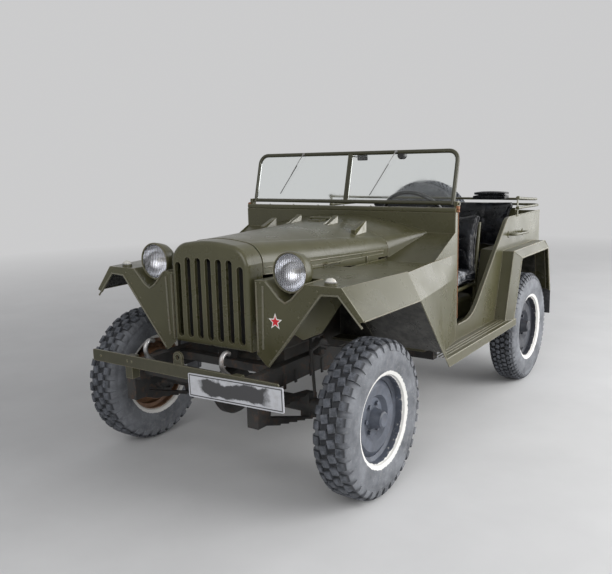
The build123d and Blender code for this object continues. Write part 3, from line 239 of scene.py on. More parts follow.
# columns: name, where it stands, size, power in watts
lamps = [
    ("key_softbox", (5.6, 0.8, 2.6), 4.5, 280),
    ("side_softbox", (3.9, 5.6, 2.2), 6.0, 200),
    ("front_softbox", (1.5, -6.0, 3.5), 5.0, 140),
]
for name, place, size, power in lamps:
    lamp_data = bpy.data.lights.new(name, "AREA")
    lamp_data.shape, lamp_data.size, lamp_data.energy = "DISK", size, power
    lamp = bpy.data.objects.new(name, lamp_data)
    lamp.location = place
    lamp.rotation_euler = (Vector((0, 0, 0.6)) - Vector(place)).to_track_quat("-Z", "Y").to_euler()
    bpy.context.scene.collection.objects.link(lamp)
bpy.context.scene.view_settings.view_transform = "Standard"
print("lamps", len(lamps))

# %% [markdown]
# ## Shared surface effects
# Paint chips along sheet edges, dust settles on surfaces that face up, and mud reaches the low
# parts. Each effect is a node group that puts out a mask, so that every finish can mix it in with
# its own strength. Edges are found with a Bevel node: it bends the normal near an edge, and the
# angle between the bent and the true normal shows where the edge is. The edge group also puts out
# an unbroken mask of every sharp edge, which the finishes use for a painted highlight.

# %% Edge wear and highlight, dust, splash and grain groups
edge_wear_and_highlight, wear_in, wear_out = new_group(
    "edge wear", [("Width", "NodeSocketFloat", 0.004), ("Amount", "NodeSocketFloat", 0.5)],
    [("Mask", "NodeSocketFloat"), ("Highlight", "NodeSocketFloat")])
bent = place_node(edge_wear_and_highlight, "ShaderNodeBevel", {"Radius": wear_in.outputs["Width"]}, samples=4)
true_normal = place_node(edge_wear_and_highlight, "ShaderNodeNewGeometry").outputs["Normal"]
likeness = place_node(
    edge_wear_and_highlight, "ShaderNodeVectorMath", {0: bent.outputs[0], 1: true_normal}, operation="DOT_PRODUCT"
)
sharpness = span(edge_wear_and_highlight, likeness.outputs["Value"], 1.0, 0.86)
broken = span(edge_wear_and_highlight, mottle(edge_wear_and_highlight, 55, 5, 0.7), 0.42, 0.62)
patchy = span(edge_wear_and_highlight, mottle(edge_wear_and_highlight, 5), 0.35, 0.6)
wear = sums(edge_wear_and_highlight, "MULTIPLY", sums(edge_wear_and_highlight, "MULTIPLY", sharpness, broken), patchy)
edge_wear_and_highlight.links.new(sums(edge_wear_and_highlight, "MULTIPLY", wear, wear_in.outputs["Amount"]), wear_out.inputs["Mask"])
# The second output marks every sharp edge, unbroken: the finishes paint a highlight with it.
edge_wear_and_highlight.links.new(sharpness, wear_out.inputs["Highlight"])

settled_dust, dust_in, dust_out = new_group(
    "settled dust", [("Amount", "NodeSocketFloat", 0.5), ("Scale", "NodeSocketFloat", 7.0)],
    [("Mask", "NodeSocketFloat")])
facing = place_node(
    settled_dust, "ShaderNodeSeparateXYZ",
    {0: place_node(settled_dust, "ShaderNodeNewGeometry").outputs["Normal"]}
)
upward = span(settled_dust, facing.outputs[2], 0.1, 0.95)
dust_where = place_node(settled_dust, "ShaderNodeTexCoord").outputs["Object"]
dust_noise = place_node(
    settled_dust, "ShaderNodeTexNoise",
    {"Vector": dust_where, "Scale": dust_in.outputs["Scale"], "Detail": 6.0, "Roughness": 0.68}
)
dust_clouds = span(settled_dust, dust_noise.outputs["Fac"], 0.35, 0.75)
dusty = sums(
    settled_dust, "MULTIPLY", sums(settled_dust, "MULTIPLY", upward, dust_clouds), dust_in.outputs["Amount"]
)
settled_dust.links.new(dusty, dust_out.inputs["Mask"])

road_splash, splash_in, splash_out = new_group(
    "road splash",
    [("Low", "NodeSocketFloat", 0.25), ("High", "NodeSocketFloat", 0.75), ("Amount", "NodeSocketFloat", 0.6)],
    [("Mask", "NodeSocketFloat")])
splash_height = place_node(
    road_splash, "ShaderNodeSeparateXYZ",
    {0: place_node(road_splash, "ShaderNodeTexCoord").outputs["Object"]}
).outputs[2]
wavy = sums(
    road_splash, "ADD", splash_height,
    span(road_splash, mottle(road_splash, 9, 6, 0.7), 0.3, 0.7, -0.14, 0.14)
)
low_mask = place_node(
    road_splash, "ShaderNodeMapRange", {0: wavy, 1: splash_in.outputs["High"], 2: splash_in.outputs["Low"]},
    clamp=True
).outputs[0]
specks = span(road_splash, mottle(road_splash, 38, 3, 0.7), 0.38, 0.62, 0.35, 1.0)
splashed = sums(
    road_splash, "MULTIPLY", sums(road_splash, "MULTIPLY", low_mask, specks), splash_in.outputs["Amount"]
)
road_splash.links.new(splashed, splash_out.inputs["Mask"])

skin_grain, grain_in, grain_out = new_group(
    "skin grain", [("Scale", "NodeSocketFloat", 300.0)],
    [("Height", "NodeSocketFloat"), ("Crease", "NodeSocketFloat")])
grain_where = place_node(skin_grain, "ShaderNodeTexCoord").outputs["Object"]
cells = place_node(
    skin_grain, "ShaderNodeTexVoronoi", {"Vector": grain_where, "Scale": grain_in.outputs["Scale"]},
    feature="DISTANCE_TO_EDGE"
)
fine = place_node(
    skin_grain, "ShaderNodeTexNoise",
    {"Vector": grain_where, "Scale": grain_in.outputs["Scale"], "Detail": 3.0}
)
grain_height = sums(
    skin_grain, "ADD", span(skin_grain, cells.outputs["Distance"], 0.0, 0.12),
    sums(skin_grain, "MULTIPLY", fine.outputs["Fac"], 0.5)
)
skin_grain.links.new(grain_height, grain_out.inputs["Height"])
skin_grain.links.new(
    span(skin_grain, mottle(skin_grain, 11, 7, 0.72), 0.52, 0.66), grain_out.inputs["Crease"]
)

axle_distance, axle_in, axle_out = new_group(
    "distance from axle",
    [("Centre", "NodeSocketVector", (0, 0, 0)), ("Keep", "NodeSocketVector", (0, 1, 1))],
    [("Radius", "NodeSocketFloat")])
axle_where = place_node(axle_distance, "ShaderNodeTexCoord").outputs["Object"]
offset = place_node(
    axle_distance, "ShaderNodeVectorMath", {0: axle_where, 1: axle_in.outputs["Centre"]},
    operation="SUBTRACT"
)
flat = place_node(
    axle_distance, "ShaderNodeVectorMath", {0: offset.outputs[0], 1: axle_in.outputs["Keep"]},
    operation="MULTIPLY"
)
length = place_node(axle_distance, "ShaderNodeVectorMath", {0: flat.outputs[0]}, operation="LENGTH")
axle_distance.links.new(length.outputs["Value"], axle_out.inputs["Radius"])
print("effect groups", [group.name for group in bpy.data.node_groups])

# %% [markdown]
# ## Olive paint
# The real paint is a satin military green, brushed on thickly and often. It is a little uneven in
# tone, paler where dust lies, browner near the road, and chipped to rusty steel along its edges.
# Every sharp edge is also painted paler as a painted highlight, and where a finish is given a
# direction, the faces turned that way are darkened below about a metre.

# %% Olive paint
def olive_paint(name, tone=(0.066, 0.063, 0.028), wear=0.6, dust=0.12, mud=0.35, shine=0.27, under=None):
    """Brushed green with dust, mud, chipped edges and painted highlights on its edges;
    faces turned towards under are darkened below about a metre.
    """
    material, tree = fresh_material(name)
    uneven = span(tree, mottle(tree, 2.2, 5, 0.6), 0.3, 0.7)
    darker = tuple(c * 0.82 for c in tone)
    paler = (tone[0] * 1.16, tone[1] * 1.16, tone[2] * 1.25)
    base = blend_colour(tree, uneven, darker, paler)
    streaks = span(tree, mottle(tree, 16, 4, 0.7, (1, 1, 0.12)), 0.55, 0.8, 0.0, 0.28)
    base = blend_colour(tree, streaks, base, (tone[0] * 0.6, tone[1] * 0.56, tone[2] * 0.5))
    lying = use_group(tree, settled_dust, amount=dust)["Mask"]
    base = blend_colour(tree, lying, base, (0.27, 0.25, 0.19))
    muddy = use_group(tree, road_splash, amount=mud)["Mask"]
    base = blend_colour(tree, muddy, base, (0.15, 0.125, 0.09))
    if under:
        # Faces turned towards under are darkened to a mottled near-black, below about a metre.
        facing = place_node(tree, "ShaderNodeNewGeometry").outputs["Normal"]
        turned_under = place_node(
            tree, "ShaderNodeVectorMath", {0: facing, 1: under}, operation="DOT_PRODUCT"
        ).outputs["Value"]
        ragged = sums(tree, "ADD", turned_under, span(tree, mottle(tree, 12, 6, 0.7), 0.3, 0.7, -0.15, 0.15))
        height = place_node(
            tree, "ShaderNodeSeparateXYZ", {0: place_node(tree, "ShaderNodeTexCoord").outputs["Object"]}
        ).outputs[2]
        under_darkening = sums(
            tree, "MULTIPLY", span(tree, ragged, 0.15, 0.45, 0.0, 0.94), span(tree, height, 1.03, 1.0)
        )
        under_dark_colour = blend_colour(
            tree, span(tree, mottle(tree, 17, 8, 0.72), 0.42, 0.66), (0.012, 0.012, 0.011),
            (0.085, 0.082, 0.076)
        )
        base = blend_colour(tree, under_darkening, base, under_dark_colour)
    edges = use_group(tree, edge_wear_and_highlight, width=0.005, amount=wear)
    # Every sharp edge is painted paler as a painted highlight; the broken chips show rusty steel.
    painted_edge_highlight = sums(tree, "MULTIPLY", edges["Highlight"], 0.75)
    base = blend_colour(tree, painted_edge_highlight, base, (0.27, 0.265, 0.19))
    base = blend_colour(tree, edges["Mask"], base, (0.16, 0.075, 0.032))
    dull = sums(tree, "ADD", sums(tree, "MULTIPLY", lying, 0.35), sums(tree, "MULTIPLY", muddy, 0.35))
    gloss = sums(tree, "ADD", span(tree, mottle(tree, 6, 5), 0.3, 0.7, shine - 0.05, shine + 0.09), dull)
    brush = sums(
        tree, "ADD", mottle(tree, 24, 3, 0.5, (1, 0.25, 0.25)),
        sums(tree, "MULTIPLY", mottle(tree, 190, 2), 0.25)
    )
    finish_shader(tree, base, gloss, brush, 0.14, 0.0015)
    return material


body_olive = olive_paint("olive paint")
deep_olive = olive_paint(
    "olive paint in the wheels' spray", wear=0.7, dust=0.25, mud=0.95, shine=0.45, under=(0, -0.3, -1)
)
arch_olive = olive_paint("olive paint over the wheels", under=(0, 0, -1.4))
cowl_olive = olive_paint("olive paint on the cowl", under=(0, -0.55, -1.0), mud=0.3)
dark_olive = olive_paint("olive paint on bars and frames", tone=(0.042, 0.041, 0.020), shine=0.33)
inner_olive = olive_paint(
    "olive paint inside the tub", tone=(0.055, 0.053, 0.026), dust=0.3, mud=0.5, shine=0.5
)
# A paler olive for beads, ribs and rolled edges, as a painted highlight of the light they catch.
highlight_olive = olive_paint(
    "olive paint rubbed bright", tone=(0.118, 0.115, 0.078), wear=0.8, dust=0.1, mud=0.2, shine=0.24
)
olives = (body_olive, deep_olive, arch_olive, cowl_olive, dark_olive, inner_olive, highlight_olive)
print("paints", [paint.name for paint in olives])

# %% [markdown]
# ## Road-worn metal under the car
# Frame, axles and springs were black or green once. Now grey road dust covers them, with rust where
# stones have struck. Oily cast iron, a rusty exhaust and worn bright hooks are the same recipe with
# other tones.

# %% Metals
def worn_metal(
    name, tone, dust_tone, rust=0.3, dust=0.6, metallic=0.0, roughness=0.55, rust_tone=(0.17, 0.075, 0.03)
):
    """A metal surface with road dust in clouds and patches of rust."""
    material, tree = fresh_material(name)
    dirt = span(tree, mottle(tree, 8, 7, 0.7), 0.35, 0.7, 0.0, dust)
    base = blend_colour(tree, dirt, tone, dust_tone)
    patches = span(tree, mottle(tree, 21, 8, 0.75), 0.52, 0.66, 0.0, rust)
    base = blend_colour(tree, patches, base, rust_tone)
    edges = use_group(tree, edge_wear_and_highlight, width=0.003, amount=0.5)
    base = blend_colour(tree, edges["Mask"], base, tuple(min(1, c * 2.2 + 0.05) for c in tone))
    rough = sums(tree, "ADD", sums(tree, "MULTIPLY", sums(tree, "ADD", dirt, patches), 0.3), roughness)
    pits = sums(tree, "ADD", mottle(tree, 120, 4, 0.7), sums(tree, "MULTIPLY", patches, 0.6))
    finish_shader(tree, base, rough, pits, 0.3, 0.001, Metallic=metallic)
    return material


road_black = worn_metal("dusty chassis black", (0.012, 0.012, 0.012), (0.058, 0.056, 0.052))
core_black = worn_metal(
    "radiator core black", (0.004, 0.004, 0.004), (0.012, 0.012, 0.012), rust=0.1, dust=0.4, roughness=0.7
)
oily_iron = worn_metal("oily iron", (0.024, 0.023, 0.02), (0.09, 0.082, 0.068), roughness=0.42)
rusty_steel = worn_metal("rusty exhaust", (0.07, 0.05, 0.04), (0.12, 0.10, 0.08), rust=0.9, roughness=0.6)
bright_steel = worn_metal(
    "worn bright steel", (0.34, 0.34, 0.34), (0.16, 0.15, 0.13), rust=0.35, dust=0.45, metallic=0.85,
    roughness=0.3
)
knob_black = worn_metal(
    "black control knobs", (0.012, 0.012, 0.013), (0.05, 0.048, 0.045), rust=0.0, dust=0.25, roughness=0.28
)
print("metals", 6)

# %% [markdown]
# ## Wheels and tyres
# The pressed wheels are dark grey, and the rim's edge is painted white, which is an old habit for
# parades. The ring follows the distance from the axle, so it is one mask in the wheel's own finish.
# The front right wheel is the rusty one, and its ring is stained brown. The front left wheel is a
# paler, bluer grey than the rear ones, as painted light from the sky. Tyre rubber is dark grey with
# pale road dust in clouds, and the floors of its grooves are darkened as painted shade.

# %% Wheel paint and rubber
half_track, wheelbase, tyre_radius = 0.723, 2.1, 0.37
rear_axle_y = front_axle_y + wheelbase
axle_places = {
    "front_left": (half_track, front_axle_y, tyre_radius),
    "front_right": (-half_track, front_axle_y, tyre_radius),
    "rear_left": (half_track, rear_axle_y, tyre_radius),
    "rear_right": (-half_track, rear_axle_y, tyre_radius),
}
spare_place = (-0.262, 1.5565, 0.98)


def wheel_paint(name, centre, keep, tone, ring, rust=0.12):
    """Dark wheel paint; ring is the colour of the painted ring on the rim's edge, if it has one."""
    material, tree = fresh_material(name)
    base = blend_colour(
        tree, span(tree, mottle(tree, 9, 6, 0.7), 0.3, 0.7), tone, tuple(c * 2.4 + 0.01 for c in tone)
    )
    patches = span(tree, mottle(tree, 26, 8, 0.75), 0.56, 0.7, 0.0, rust)
    base = blend_colour(tree, patches, base, (0.2, 0.085, 0.03))
    radius = use_group(tree, axle_distance, centre=centre, keep=keep)["Radius"]
    ragged = sums(tree, "ADD", radius, span(tree, mottle(tree, 45, 4), 0.3, 0.7, -0.0035, 0.0035))
    if ring:
        white = span(tree, ragged, 0.2015, 0.204)
        base = blend_colour(tree, white, base, ring)
        stain = sums(tree, "MULTIPLY", white, span(tree, mottle(tree, 14, 6, 0.7), 0.54, 0.72, 0.0, 0.75))
        base = blend_colour(tree, stain, base, (0.38, 0.21, 0.11))
    edges = use_group(tree, edge_wear_and_highlight, width=0.003, amount=0.3)
    base = blend_colour(tree, edges["Mask"], base, (0.16, 0.12, 0.09))
    finish_shader(
        tree, base, span(tree, mottle(tree, 17, 5), 0.3, 0.7, 0.34, 0.58), mottle(tree, 140, 4, 0.6), 0.2,
        0.001
    )
    return material


def tyre_rubber(name, centre, keep, ring=True):
    """Dusty rubber, darker on worn tread, with a paint-smeared ring beside the rim, painted shade in
    its grooves and a faint painted highlight on its edges.
    """
    material, tree = fresh_material(name)
    clouds = span(tree, mottle(tree, 6, 6, 0.65), 0.3, 0.72)
    base = blend_colour(tree, clouds, (0.060, 0.064, 0.072), (0.205, 0.215, 0.235))
    scuffs = span(tree, mottle(tree, 34, 7, 0.75), 0.5, 0.72, 0.0, 0.55)
    base = blend_colour(tree, scuffs, base, (0.26, 0.265, 0.275))
    radius = use_group(tree, axle_distance, centre=centre, keep=keep)["Radius"]
    tread = span(tree, radius, 0.345, 0.366)
    worn = sums(tree, "MULTIPLY", tread, span(tree, mottle(tree, 25, 5), 0.3, 0.7, 0.6, 1.0))
    lug_tops = blend_colour(
        tree, span(tree, mottle(tree, 30, 6, 0.7), 0.4, 0.65), (0.020, 0.024, 0.031), (0.14, 0.15, 0.175)
    )
    base = blend_colour(tree, worn, base, lug_tops)
    # The floors of the grooves between the blocks are darkened as painted shade.
    groove_shade = sums(tree, "MULTIPLY", span(tree, radius, 0.350, 0.354), span(tree, radius, 0.3645, 0.3565))
    base = blend_colour(tree, sums(tree, "MULTIPLY", groove_shade, 0.85), base, (0.010, 0.011, 0.014))
    if ring:
        ragged = sums(tree, "ADD", radius, span(tree, mottle(tree, 60, 5, 0.7), 0.3, 0.7, -0.003, 0.003))
        white = span(tree, ragged, 0.2275, 0.2245)
        base = blend_colour(tree, white, base, (0.7, 0.69, 0.66))
    edges = use_group(tree, edge_wear_and_highlight, width=0.004, amount=0.3)
    # A faint painted highlight along the tyre's sharp edges.
    base = blend_colour(tree, sums(tree, "MULTIPLY", edges["Highlight"], 0.22), base, (0.2, 0.2, 0.195))
    finish_shader(
        tree, base, span(tree, mottle(tree, 30, 4), 0.3, 0.7, 0.62, 0.85), mottle(tree, 260, 4, 0.65), 0.25,
        0.0008
    )
    return material


across_x, across_y = (0, 1, 1), (1, 0, 1)
wheel_grey, ring_white, ring_stained = (0.016, 0.018, 0.024), (0.74, 0.73, 0.69), (0.30, 0.24, 0.19)
# Front right is rust. Front left is paler and bluer than the rear wheels: the difference is painted light,
# sky on it and shade in their dishes.
rusty_and_lit_wheel_tones = {"front_right": (0.10, 0.052, 0.026), "front_left": (0.044, 0.050, 0.064)}
rubbers, wheel_paints = {}, {}
for corner, centre in axle_places.items():
    rubbers[corner] = tyre_rubber(f"tyre rubber {corner}", centre, across_x)
    tone = rusty_and_lit_wheel_tones.get(corner, wheel_grey)
    ring = ring_stained if corner == "front_right" else ring_white
    wheel_paints[corner] = wheel_paint(f"wheel paint {corner}", centre, across_x, tone, ring)
rubbers["spare"] = tyre_rubber("tyre rubber spare", spare_place, across_y, ring=False)
wheel_paints["spare"] = wheel_paint("wheel paint spare", spare_place, across_y, (0.085, 0.082, 0.042), None)
print("tyre and wheel finishes", len(rubbers) + len(wheel_paints))

# %% [markdown]
# ## Glass, lamps, plate and leather
# The windscreen is thin clear glass with wiped dust. The lamp glasses have pressed ribs, which bend
# the light as a bump. The plate is white enamel with a thin frame, a scrubbed middle and no
# characters. The seats wear black grained leathercloth, greyed in patches, and the front cushions'
# pale patches are painted highlights.

# %% Glass, lamp, plate and leathercloth finishes
def clear_glass(name, tint, haze, ribs=0.0):
    """Clear glass; ribs gives a lamp lens its pressed bars."""
    material, tree = fresh_material(name)
    film = span(tree, mottle(tree, 7, 6, 0.7), 0.4, 0.75, haze, haze + 0.12)
    bump = None
    if ribs:
        where = place_node(tree, "ShaderNodeTexCoord").outputs["Object"]
        bump = place_node(
            tree, "ShaderNodeTexWave", {"Vector": where, "Scale": ribs}, bands_direction="X"
        ).outputs["Fac"]
    finish_shader(tree, tint, film, bump, 0.5, 0.003, Transmission_Weight=1.0, IOR=1.45)
    return material


def enamel(name, tone, stain_tone, stain, roughness=0.3):
    """Enamel or moulded plastic with stains."""
    material, tree = fresh_material(name)
    stains = span(tree, mottle(tree, 18, 7, 0.7), 0.5, 0.7, 0.0, stain)
    colour = blend_colour(tree, stains, tone, stain_tone)
    finish_shader(
        tree, colour, span(tree, mottle(tree, 40, 3), 0.3, 0.7, roughness, roughness + 0.2),
        mottle(tree, 90, 3), 0.08, 0.001
    )
    return material


def plate_enamel(name, middle=(0.339, -1.646, 0.5675), half_width=0.265, half_height=0.0545):
    """White enamel with a thin frame and a scrubbed grey middle, and no characters."""
    material, tree = fresh_material(name)
    where = place_node(tree, "ShaderNodeTexCoord").outputs["Object"]
    moved = place_node(
        tree, "ShaderNodeMapping", {"Vector": where, "Location": [-v for v in middle]}
    ).outputs[0]
    level = place_node(
        tree, "ShaderNodeMapping", {"Vector": moved, "Rotation": (0, math.radians(1.5), 0)}
    ).outputs[0]
    parts = place_node(tree, "ShaderNodeSeparateXYZ", {0: level}).outputs
    to_side = sums(tree, "SUBTRACT", half_width, sums(tree, "ABSOLUTE", parts[0]))
    to_top = sums(tree, "SUBTRACT", half_height, sums(tree, "ABSOLUTE", parts[2]))
    inset = sums(tree, "MINIMUM", to_side, to_top)
    stains = span(tree, mottle(tree, 18, 7, 0.7), 0.5, 0.7, 0.0, 0.5)
    colour = blend_colour(tree, stains, (0.52, 0.53, 0.56), (0.30, 0.29, 0.28))
    frame_inset, frame_half = 0.0080, 0.0030
    from_frame = sums(tree, "ABSOLUTE", sums(tree, "SUBTRACT", inset, frame_inset))
    line = span(tree, from_frame, frame_half, frame_half * 0.6)
    colour = blend_colour(tree, line, colour, (0.03, 0.03, 0.032))
    cloud = sums(tree, "ADD", inset, span(tree, mottle(tree, 11, 5, 0.6), 0.3, 0.7, -0.016, 0.016))
    ends = sums(tree, "ADD", to_side, span(tree, mottle(tree, 9, 4, 0.6), 0.3, 0.7, -0.03, 0.03))
    scrubbed = sums(tree, "MULTIPLY", span(tree, cloud, 0.016, 0.024), span(tree, ends, 0.06, 0.09))
    colour = blend_colour(tree, scrubbed, colour, (0.052, 0.052, 0.055))
    finish_shader(
        tree, colour, span(tree, mottle(tree, 40, 3), 0.3, 0.7, 0.3, 0.5), mottle(tree, 90, 3), 0.1, 0.001
    )
    return material


def leathercloth(name, tone, crease_tone, roughness=0.42, dust=0.3):
    """Grained leathercloth with patches of the crease tone and dust on top; a pale crease tone is a
    painted highlight.
    """
    material, tree = fresh_material(name)
    grain = use_group(tree, skin_grain, scale=420.0)
    colour = blend_colour(
        tree, span(tree, mottle(tree, 5, 5), 0.3, 0.7), tone, tuple(c * 1.7 for c in tone)
    )
    colour = blend_colour(tree, sums(tree, "MULTIPLY", grain["Crease"], 0.8), colour, crease_tone)
    lying = use_group(tree, settled_dust, amount=dust, scale=14.0)["Mask"]
    colour = blend_colour(tree, lying, colour, (0.16, 0.165, 0.175))
    rough = sums(tree, "ADD", sums(tree, "MULTIPLY", lying, 0.3), roughness)
    finish_shader(tree, colour, rough, grain["Height"], 0.3, 0.0006, Specular_IOR_Level=0.22)
    return material


window_glass = clear_glass("windscreen glass", (0.93, 0.96, 0.95), 0.02)
lamp_glass = clear_glass("ribbed lamp glass", (0.97, 0.97, 0.98), 0.16, ribs=28.0)
marker_white = enamel("marker lamp lens", (0.66, 0.65, 0.6), (0.4, 0.2, 0.09), 0.8, 0.25)
plate_white = plate_enamel("plate enamel")
black_hide = leathercloth(
    "black leathercloth", (0.0035, 0.0038, 0.005), (0.030, 0.033, 0.040), 0.24, dust=0.08
)
# The front cushions' pale crease patches are painted highlights.
dusty_highlit_hide = leathercloth("dusty leathercloth", (0.006, 0.007, 0.009), (0.52, 0.54, 0.57), 0.40, dust=0.2)
soft_rubber = enamel("black soft rubber", (0.022, 0.022, 0.024), (0.085, 0.085, 0.085), 0.8, 0.5)
reflector_silver = worn_metal(
    "lamp reflector", (0.66, 0.67, 0.70), (0.42, 0.42, 0.42), rust=0.0, dust=0.3, metallic=1.0,
    roughness=0.16
)
print("materials so far", len(bpy.data.materials))

# %% [markdown]
# Each construction node takes its finish here. A node's own mesh is never changed, only the
# material in its slots.

# %% Finishes of the construction nodes
# each row: a finish, and the nodes that wear it
finish_rows = [
    (body_olive, "body_sides bonnet dashboard front_panels grab_handles grille headlamp_shells hood_bows"),
    (body_olive, "rear_panel running_boards scuttle seat_frames fuel_tank"),
    (deep_olive, "wheel_boxes"),
    (arch_olive, "front_fenders rear_fenders"),
    (cowl_olive, "cowl cowl_sides"),
    (dark_olive, "front_bumper windscreen_frame"),
    (inner_olive, "floor"),
    (road_black, "chassis_frame front_axle rear_axle left_knuckle right_knuckle track_rod"),
    (road_black, "leaf_springs propeller_shafts"),
    (oily_iron, "engine gearbox"),
    (core_black, "radiator"),
    (rusty_steel, "exhaust"),
    (knob_black, "driver_controls steering_wheel"),
    (bright_steel, "tow_hooks"),
    (soft_rubber, "mud_flaps"),
    (window_glass, "windscreen_glass"),
    (lamp_glass, "headlamp_lenses"),
    (marker_white, "marker_lamps"),
    (plate_white, "number_plate"),
    (dusty_highlit_hide, "front_cushions"),
    (black_hide, "front_backrests rear_bench"),
    (rubbers["spare"], "spare_tyre"),
    (wheel_paints["spare"], "spare_wheel"),
]
finishes = {name: finish for finish, names in finish_rows for name in names.split()}
for corner in axle_places:
    finishes[f"{corner}_tyre"] = rubbers[corner]
    finishes[f"{corner}_wheel"] = wheel_paints[corner]
for name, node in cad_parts.items():
    slots = node.material_slots
    if not slots:
        node.data.materials.append(finishes[name])
    for slot in slots:
        slot.material = finishes[name]
print("nodes finished", len(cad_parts), "missing", sorted(set(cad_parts) - set(finishes)))

# %% [markdown]
# ## Tools for new pieces
# Each new piece is one bmesh, shaped by operators. Four shapes repeat all over the car: something
# turned on an axis, a round bar between two points, a bent wire, and a slab. `make_piece` turns the
# mesh's faces outwards, gives it its finish, and lets it ride on the body that carries it.

# %% Shape helpers
def at(x, y, z):
    """A place given in millimetres from the middle of the front axle's ground line."""
    return Vector((x / 1000, y / 1000 + front_axle_y, z / 1000))


def make_piece(name, shape, body, finish, sharp=32, merge=0.00002):
    """Turn a bmesh into a piece that rides on a body and takes its finish from a slot."""
    if merge:
        bmesh.ops.remove_doubles(shape, verts=shape.verts, dist=merge)
    bmesh.ops.recalc_face_normals(shape, faces=shape.faces)
    mesh = bpy.data.meshes.new(name)
    shape.to_mesh(mesh)
    shape.free()
    mesh.shade_smooth()
    mesh.set_sharp_from_angle(angle=math.radians(sharp))
    mesh.materials.append(finish)
    piece = bpy.data.objects.new(name, mesh)
    bpy.context.scene.collection.objects.link(piece)
    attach(piece, body)
    return piece


def turned(shape, outline, centre, axis, steps=48):
    """Spin a closed outline of (along, radius) points about an axis through a centre."""
    axis = Vector(axis).normalized()
    away = axis.orthogonal().normalized()
    ring = [shape.verts.new(Vector(centre) + axis * along + away * radius) for along, radius in outline]
    edges = [shape.edges.new((ring[i - 1], ring[i])) for i in range(len(ring))]
    bmesh.ops.spin(
        shape, geom=ring + edges, cent=centre, axis=axis, angle=math.tau, steps=steps, use_merge=True,
        use_duplicate=False)


def round_bar(shape, start, end, radius, end_radius=None, sides=16):
    """A straight round bar, or a cone, from one point to another."""
    start, end = Vector(start), Vector(end)
    along = end - start
    place = Matrix.Translation((start + end) / 2) @ along.to_track_quat("Z", "Y").to_matrix().to_4x4()
    far = radius if end_radius is None else end_radius
    made = bmesh.ops.create_cone(
        shape, cap_ends=True, segments=sides, radius1=radius, radius2=far, depth=along.length, matrix=place)
    return made["verts"]


def bent_wire(shape, points, radius, sides=3, smooth=True, cyclic=False):
    """A round wire along points, with its corners drawn round if smooth."""
    path = bpy.data.curves.new("wire path", "CURVE")
    path.dimensions = "3D"
    path.bevel_depth, path.bevel_resolution, path.use_fill_caps, path.resolution_u = radius, sides, True, 8
    spline = path.splines.new("NURBS" if smooth else "POLY")
    spline.points.add(len(points) - 1)
    for point, place in zip(spline.points, points):
        point.co = (*place, 1)
    spline.use_cyclic_u = cyclic
    if smooth:
        spline.order_u = 3
        spline.use_endpoint_u = not cyclic
    holder = bpy.data.objects.new("wire path", path)
    mesh = bpy.data.meshes.new_from_object(holder)
    shape.from_mesh(mesh)
    bpy.data.objects.remove(holder)
    bpy.data.curves.remove(path)
    bpy.data.meshes.remove(mesh)


def slab(shape, low, high, soft=0.0, turn=None, segments=2):
    """A block between two corners, with soft edges, turned about its centre if asked."""
    low, high = Vector(low), Vector(high)
    size = Matrix.Diagonal((*(high - low), 1))
    place = Matrix.Translation((low + high) / 2) @ (turn or Matrix()).to_4x4() @ size
    verts = bmesh.ops.create_cube(shape, size=1, matrix=place)["verts"]
    if soft:
        edges = {edge for vert in verts for edge in vert.link_edges}
        made = bmesh.ops.bevel(
            shape, geom=list(edges), offset=soft, segments=segments, affect="EDGES", profile=0.5, material=-1)
        return made["verts"]
    return verts


def thicken(shape, faces, shift):
    """Extrude faces by a shift, which makes a thin plate of a flat face."""
    grown = bmesh.ops.extrude_face_region(shape, geom=faces)["geom"]
    moved = [item for item in grown if isinstance(item, bmesh.types.BMVert)]
    bmesh.ops.translate(shape, vec=shift, verts=moved)


def both_halves(shape):
    """Copy everything in the bmesh to the other side of the car."""
    made = bmesh.ops.duplicate(shape, geom=shape.verts[:] + shape.edges[:] + shape.faces[:])["geom"]
    verts = [item for item in made if isinstance(item, bmesh.types.BMVert)]
    bmesh.ops.scale(shape, vec=(-1, 1, 1), verts=verts)


print("helpers ready")

# %% [markdown]
# ## Tyres
# A tyre is a carcass and a tread. The carcass is one outline spun about the axle. The tread is one
# pitch of blocks, spun with `use_duplicate` so that each step leaves a copy. The front tyres have
# coarse mud blocks in staggered rows, whose outer row wraps down over the shoulder. The rear tyres
# and the spare have a fine road tread.

# %% Tyres with their tread
bead_radius, carcass_radius, lug_radius = 0.2045, 0.3545, 0.3692
carcass_outline = [
    (0.064, bead_radius), (0.074, 0.209), (0.0795, 0.222), (0.0835, 0.232), (0.0835, 0.236), (0.0855, 0.243),
    (0.0875, 0.262), (0.0885, 0.280), (0.0885, 0.298), (0.0868, 0.302), (0.0865, 0.308), (0.0830, 0.326),
    (0.0740, 0.342), (0.0600, 0.350), (0.0300, carcass_radius),
]
# columns: middle of the block across the tread, its width, its length, its turn, its place in the pitch
mud_blocks = [(-0.019, 0.034, 0.040, 14, 0.0), (0.019, 0.034, 0.040, 14, 0.5)]
road_blocks = [
    (-0.046, 0.020, 0.026, 18, 0.0), (-0.016, 0.024, 0.026, -18, 0.35), (0.016, 0.024, 0.026, 18, 0.0),
    (0.046, 0.020, 0.026, -18, 0.35),
]
# the shoulder block's outline: across the tread, then the radius
shoulder_outline = [
    (0.041, 0.3485), (0.043, lug_radius), (0.062, 0.3668), (0.0765, 0.3560), (0.0862, 0.3400),
    (0.0885, 0.3210), (0.0845, 0.3190), (0.0780, 0.3330), (0.0600, 0.3465),
]
road_shoulder_outline = [
    (0.062, 0.3460), (0.061, 0.3670), (0.0740, 0.3560), (0.0840, 0.3350), (0.0820, 0.3280), (0.0740, 0.3400),
]


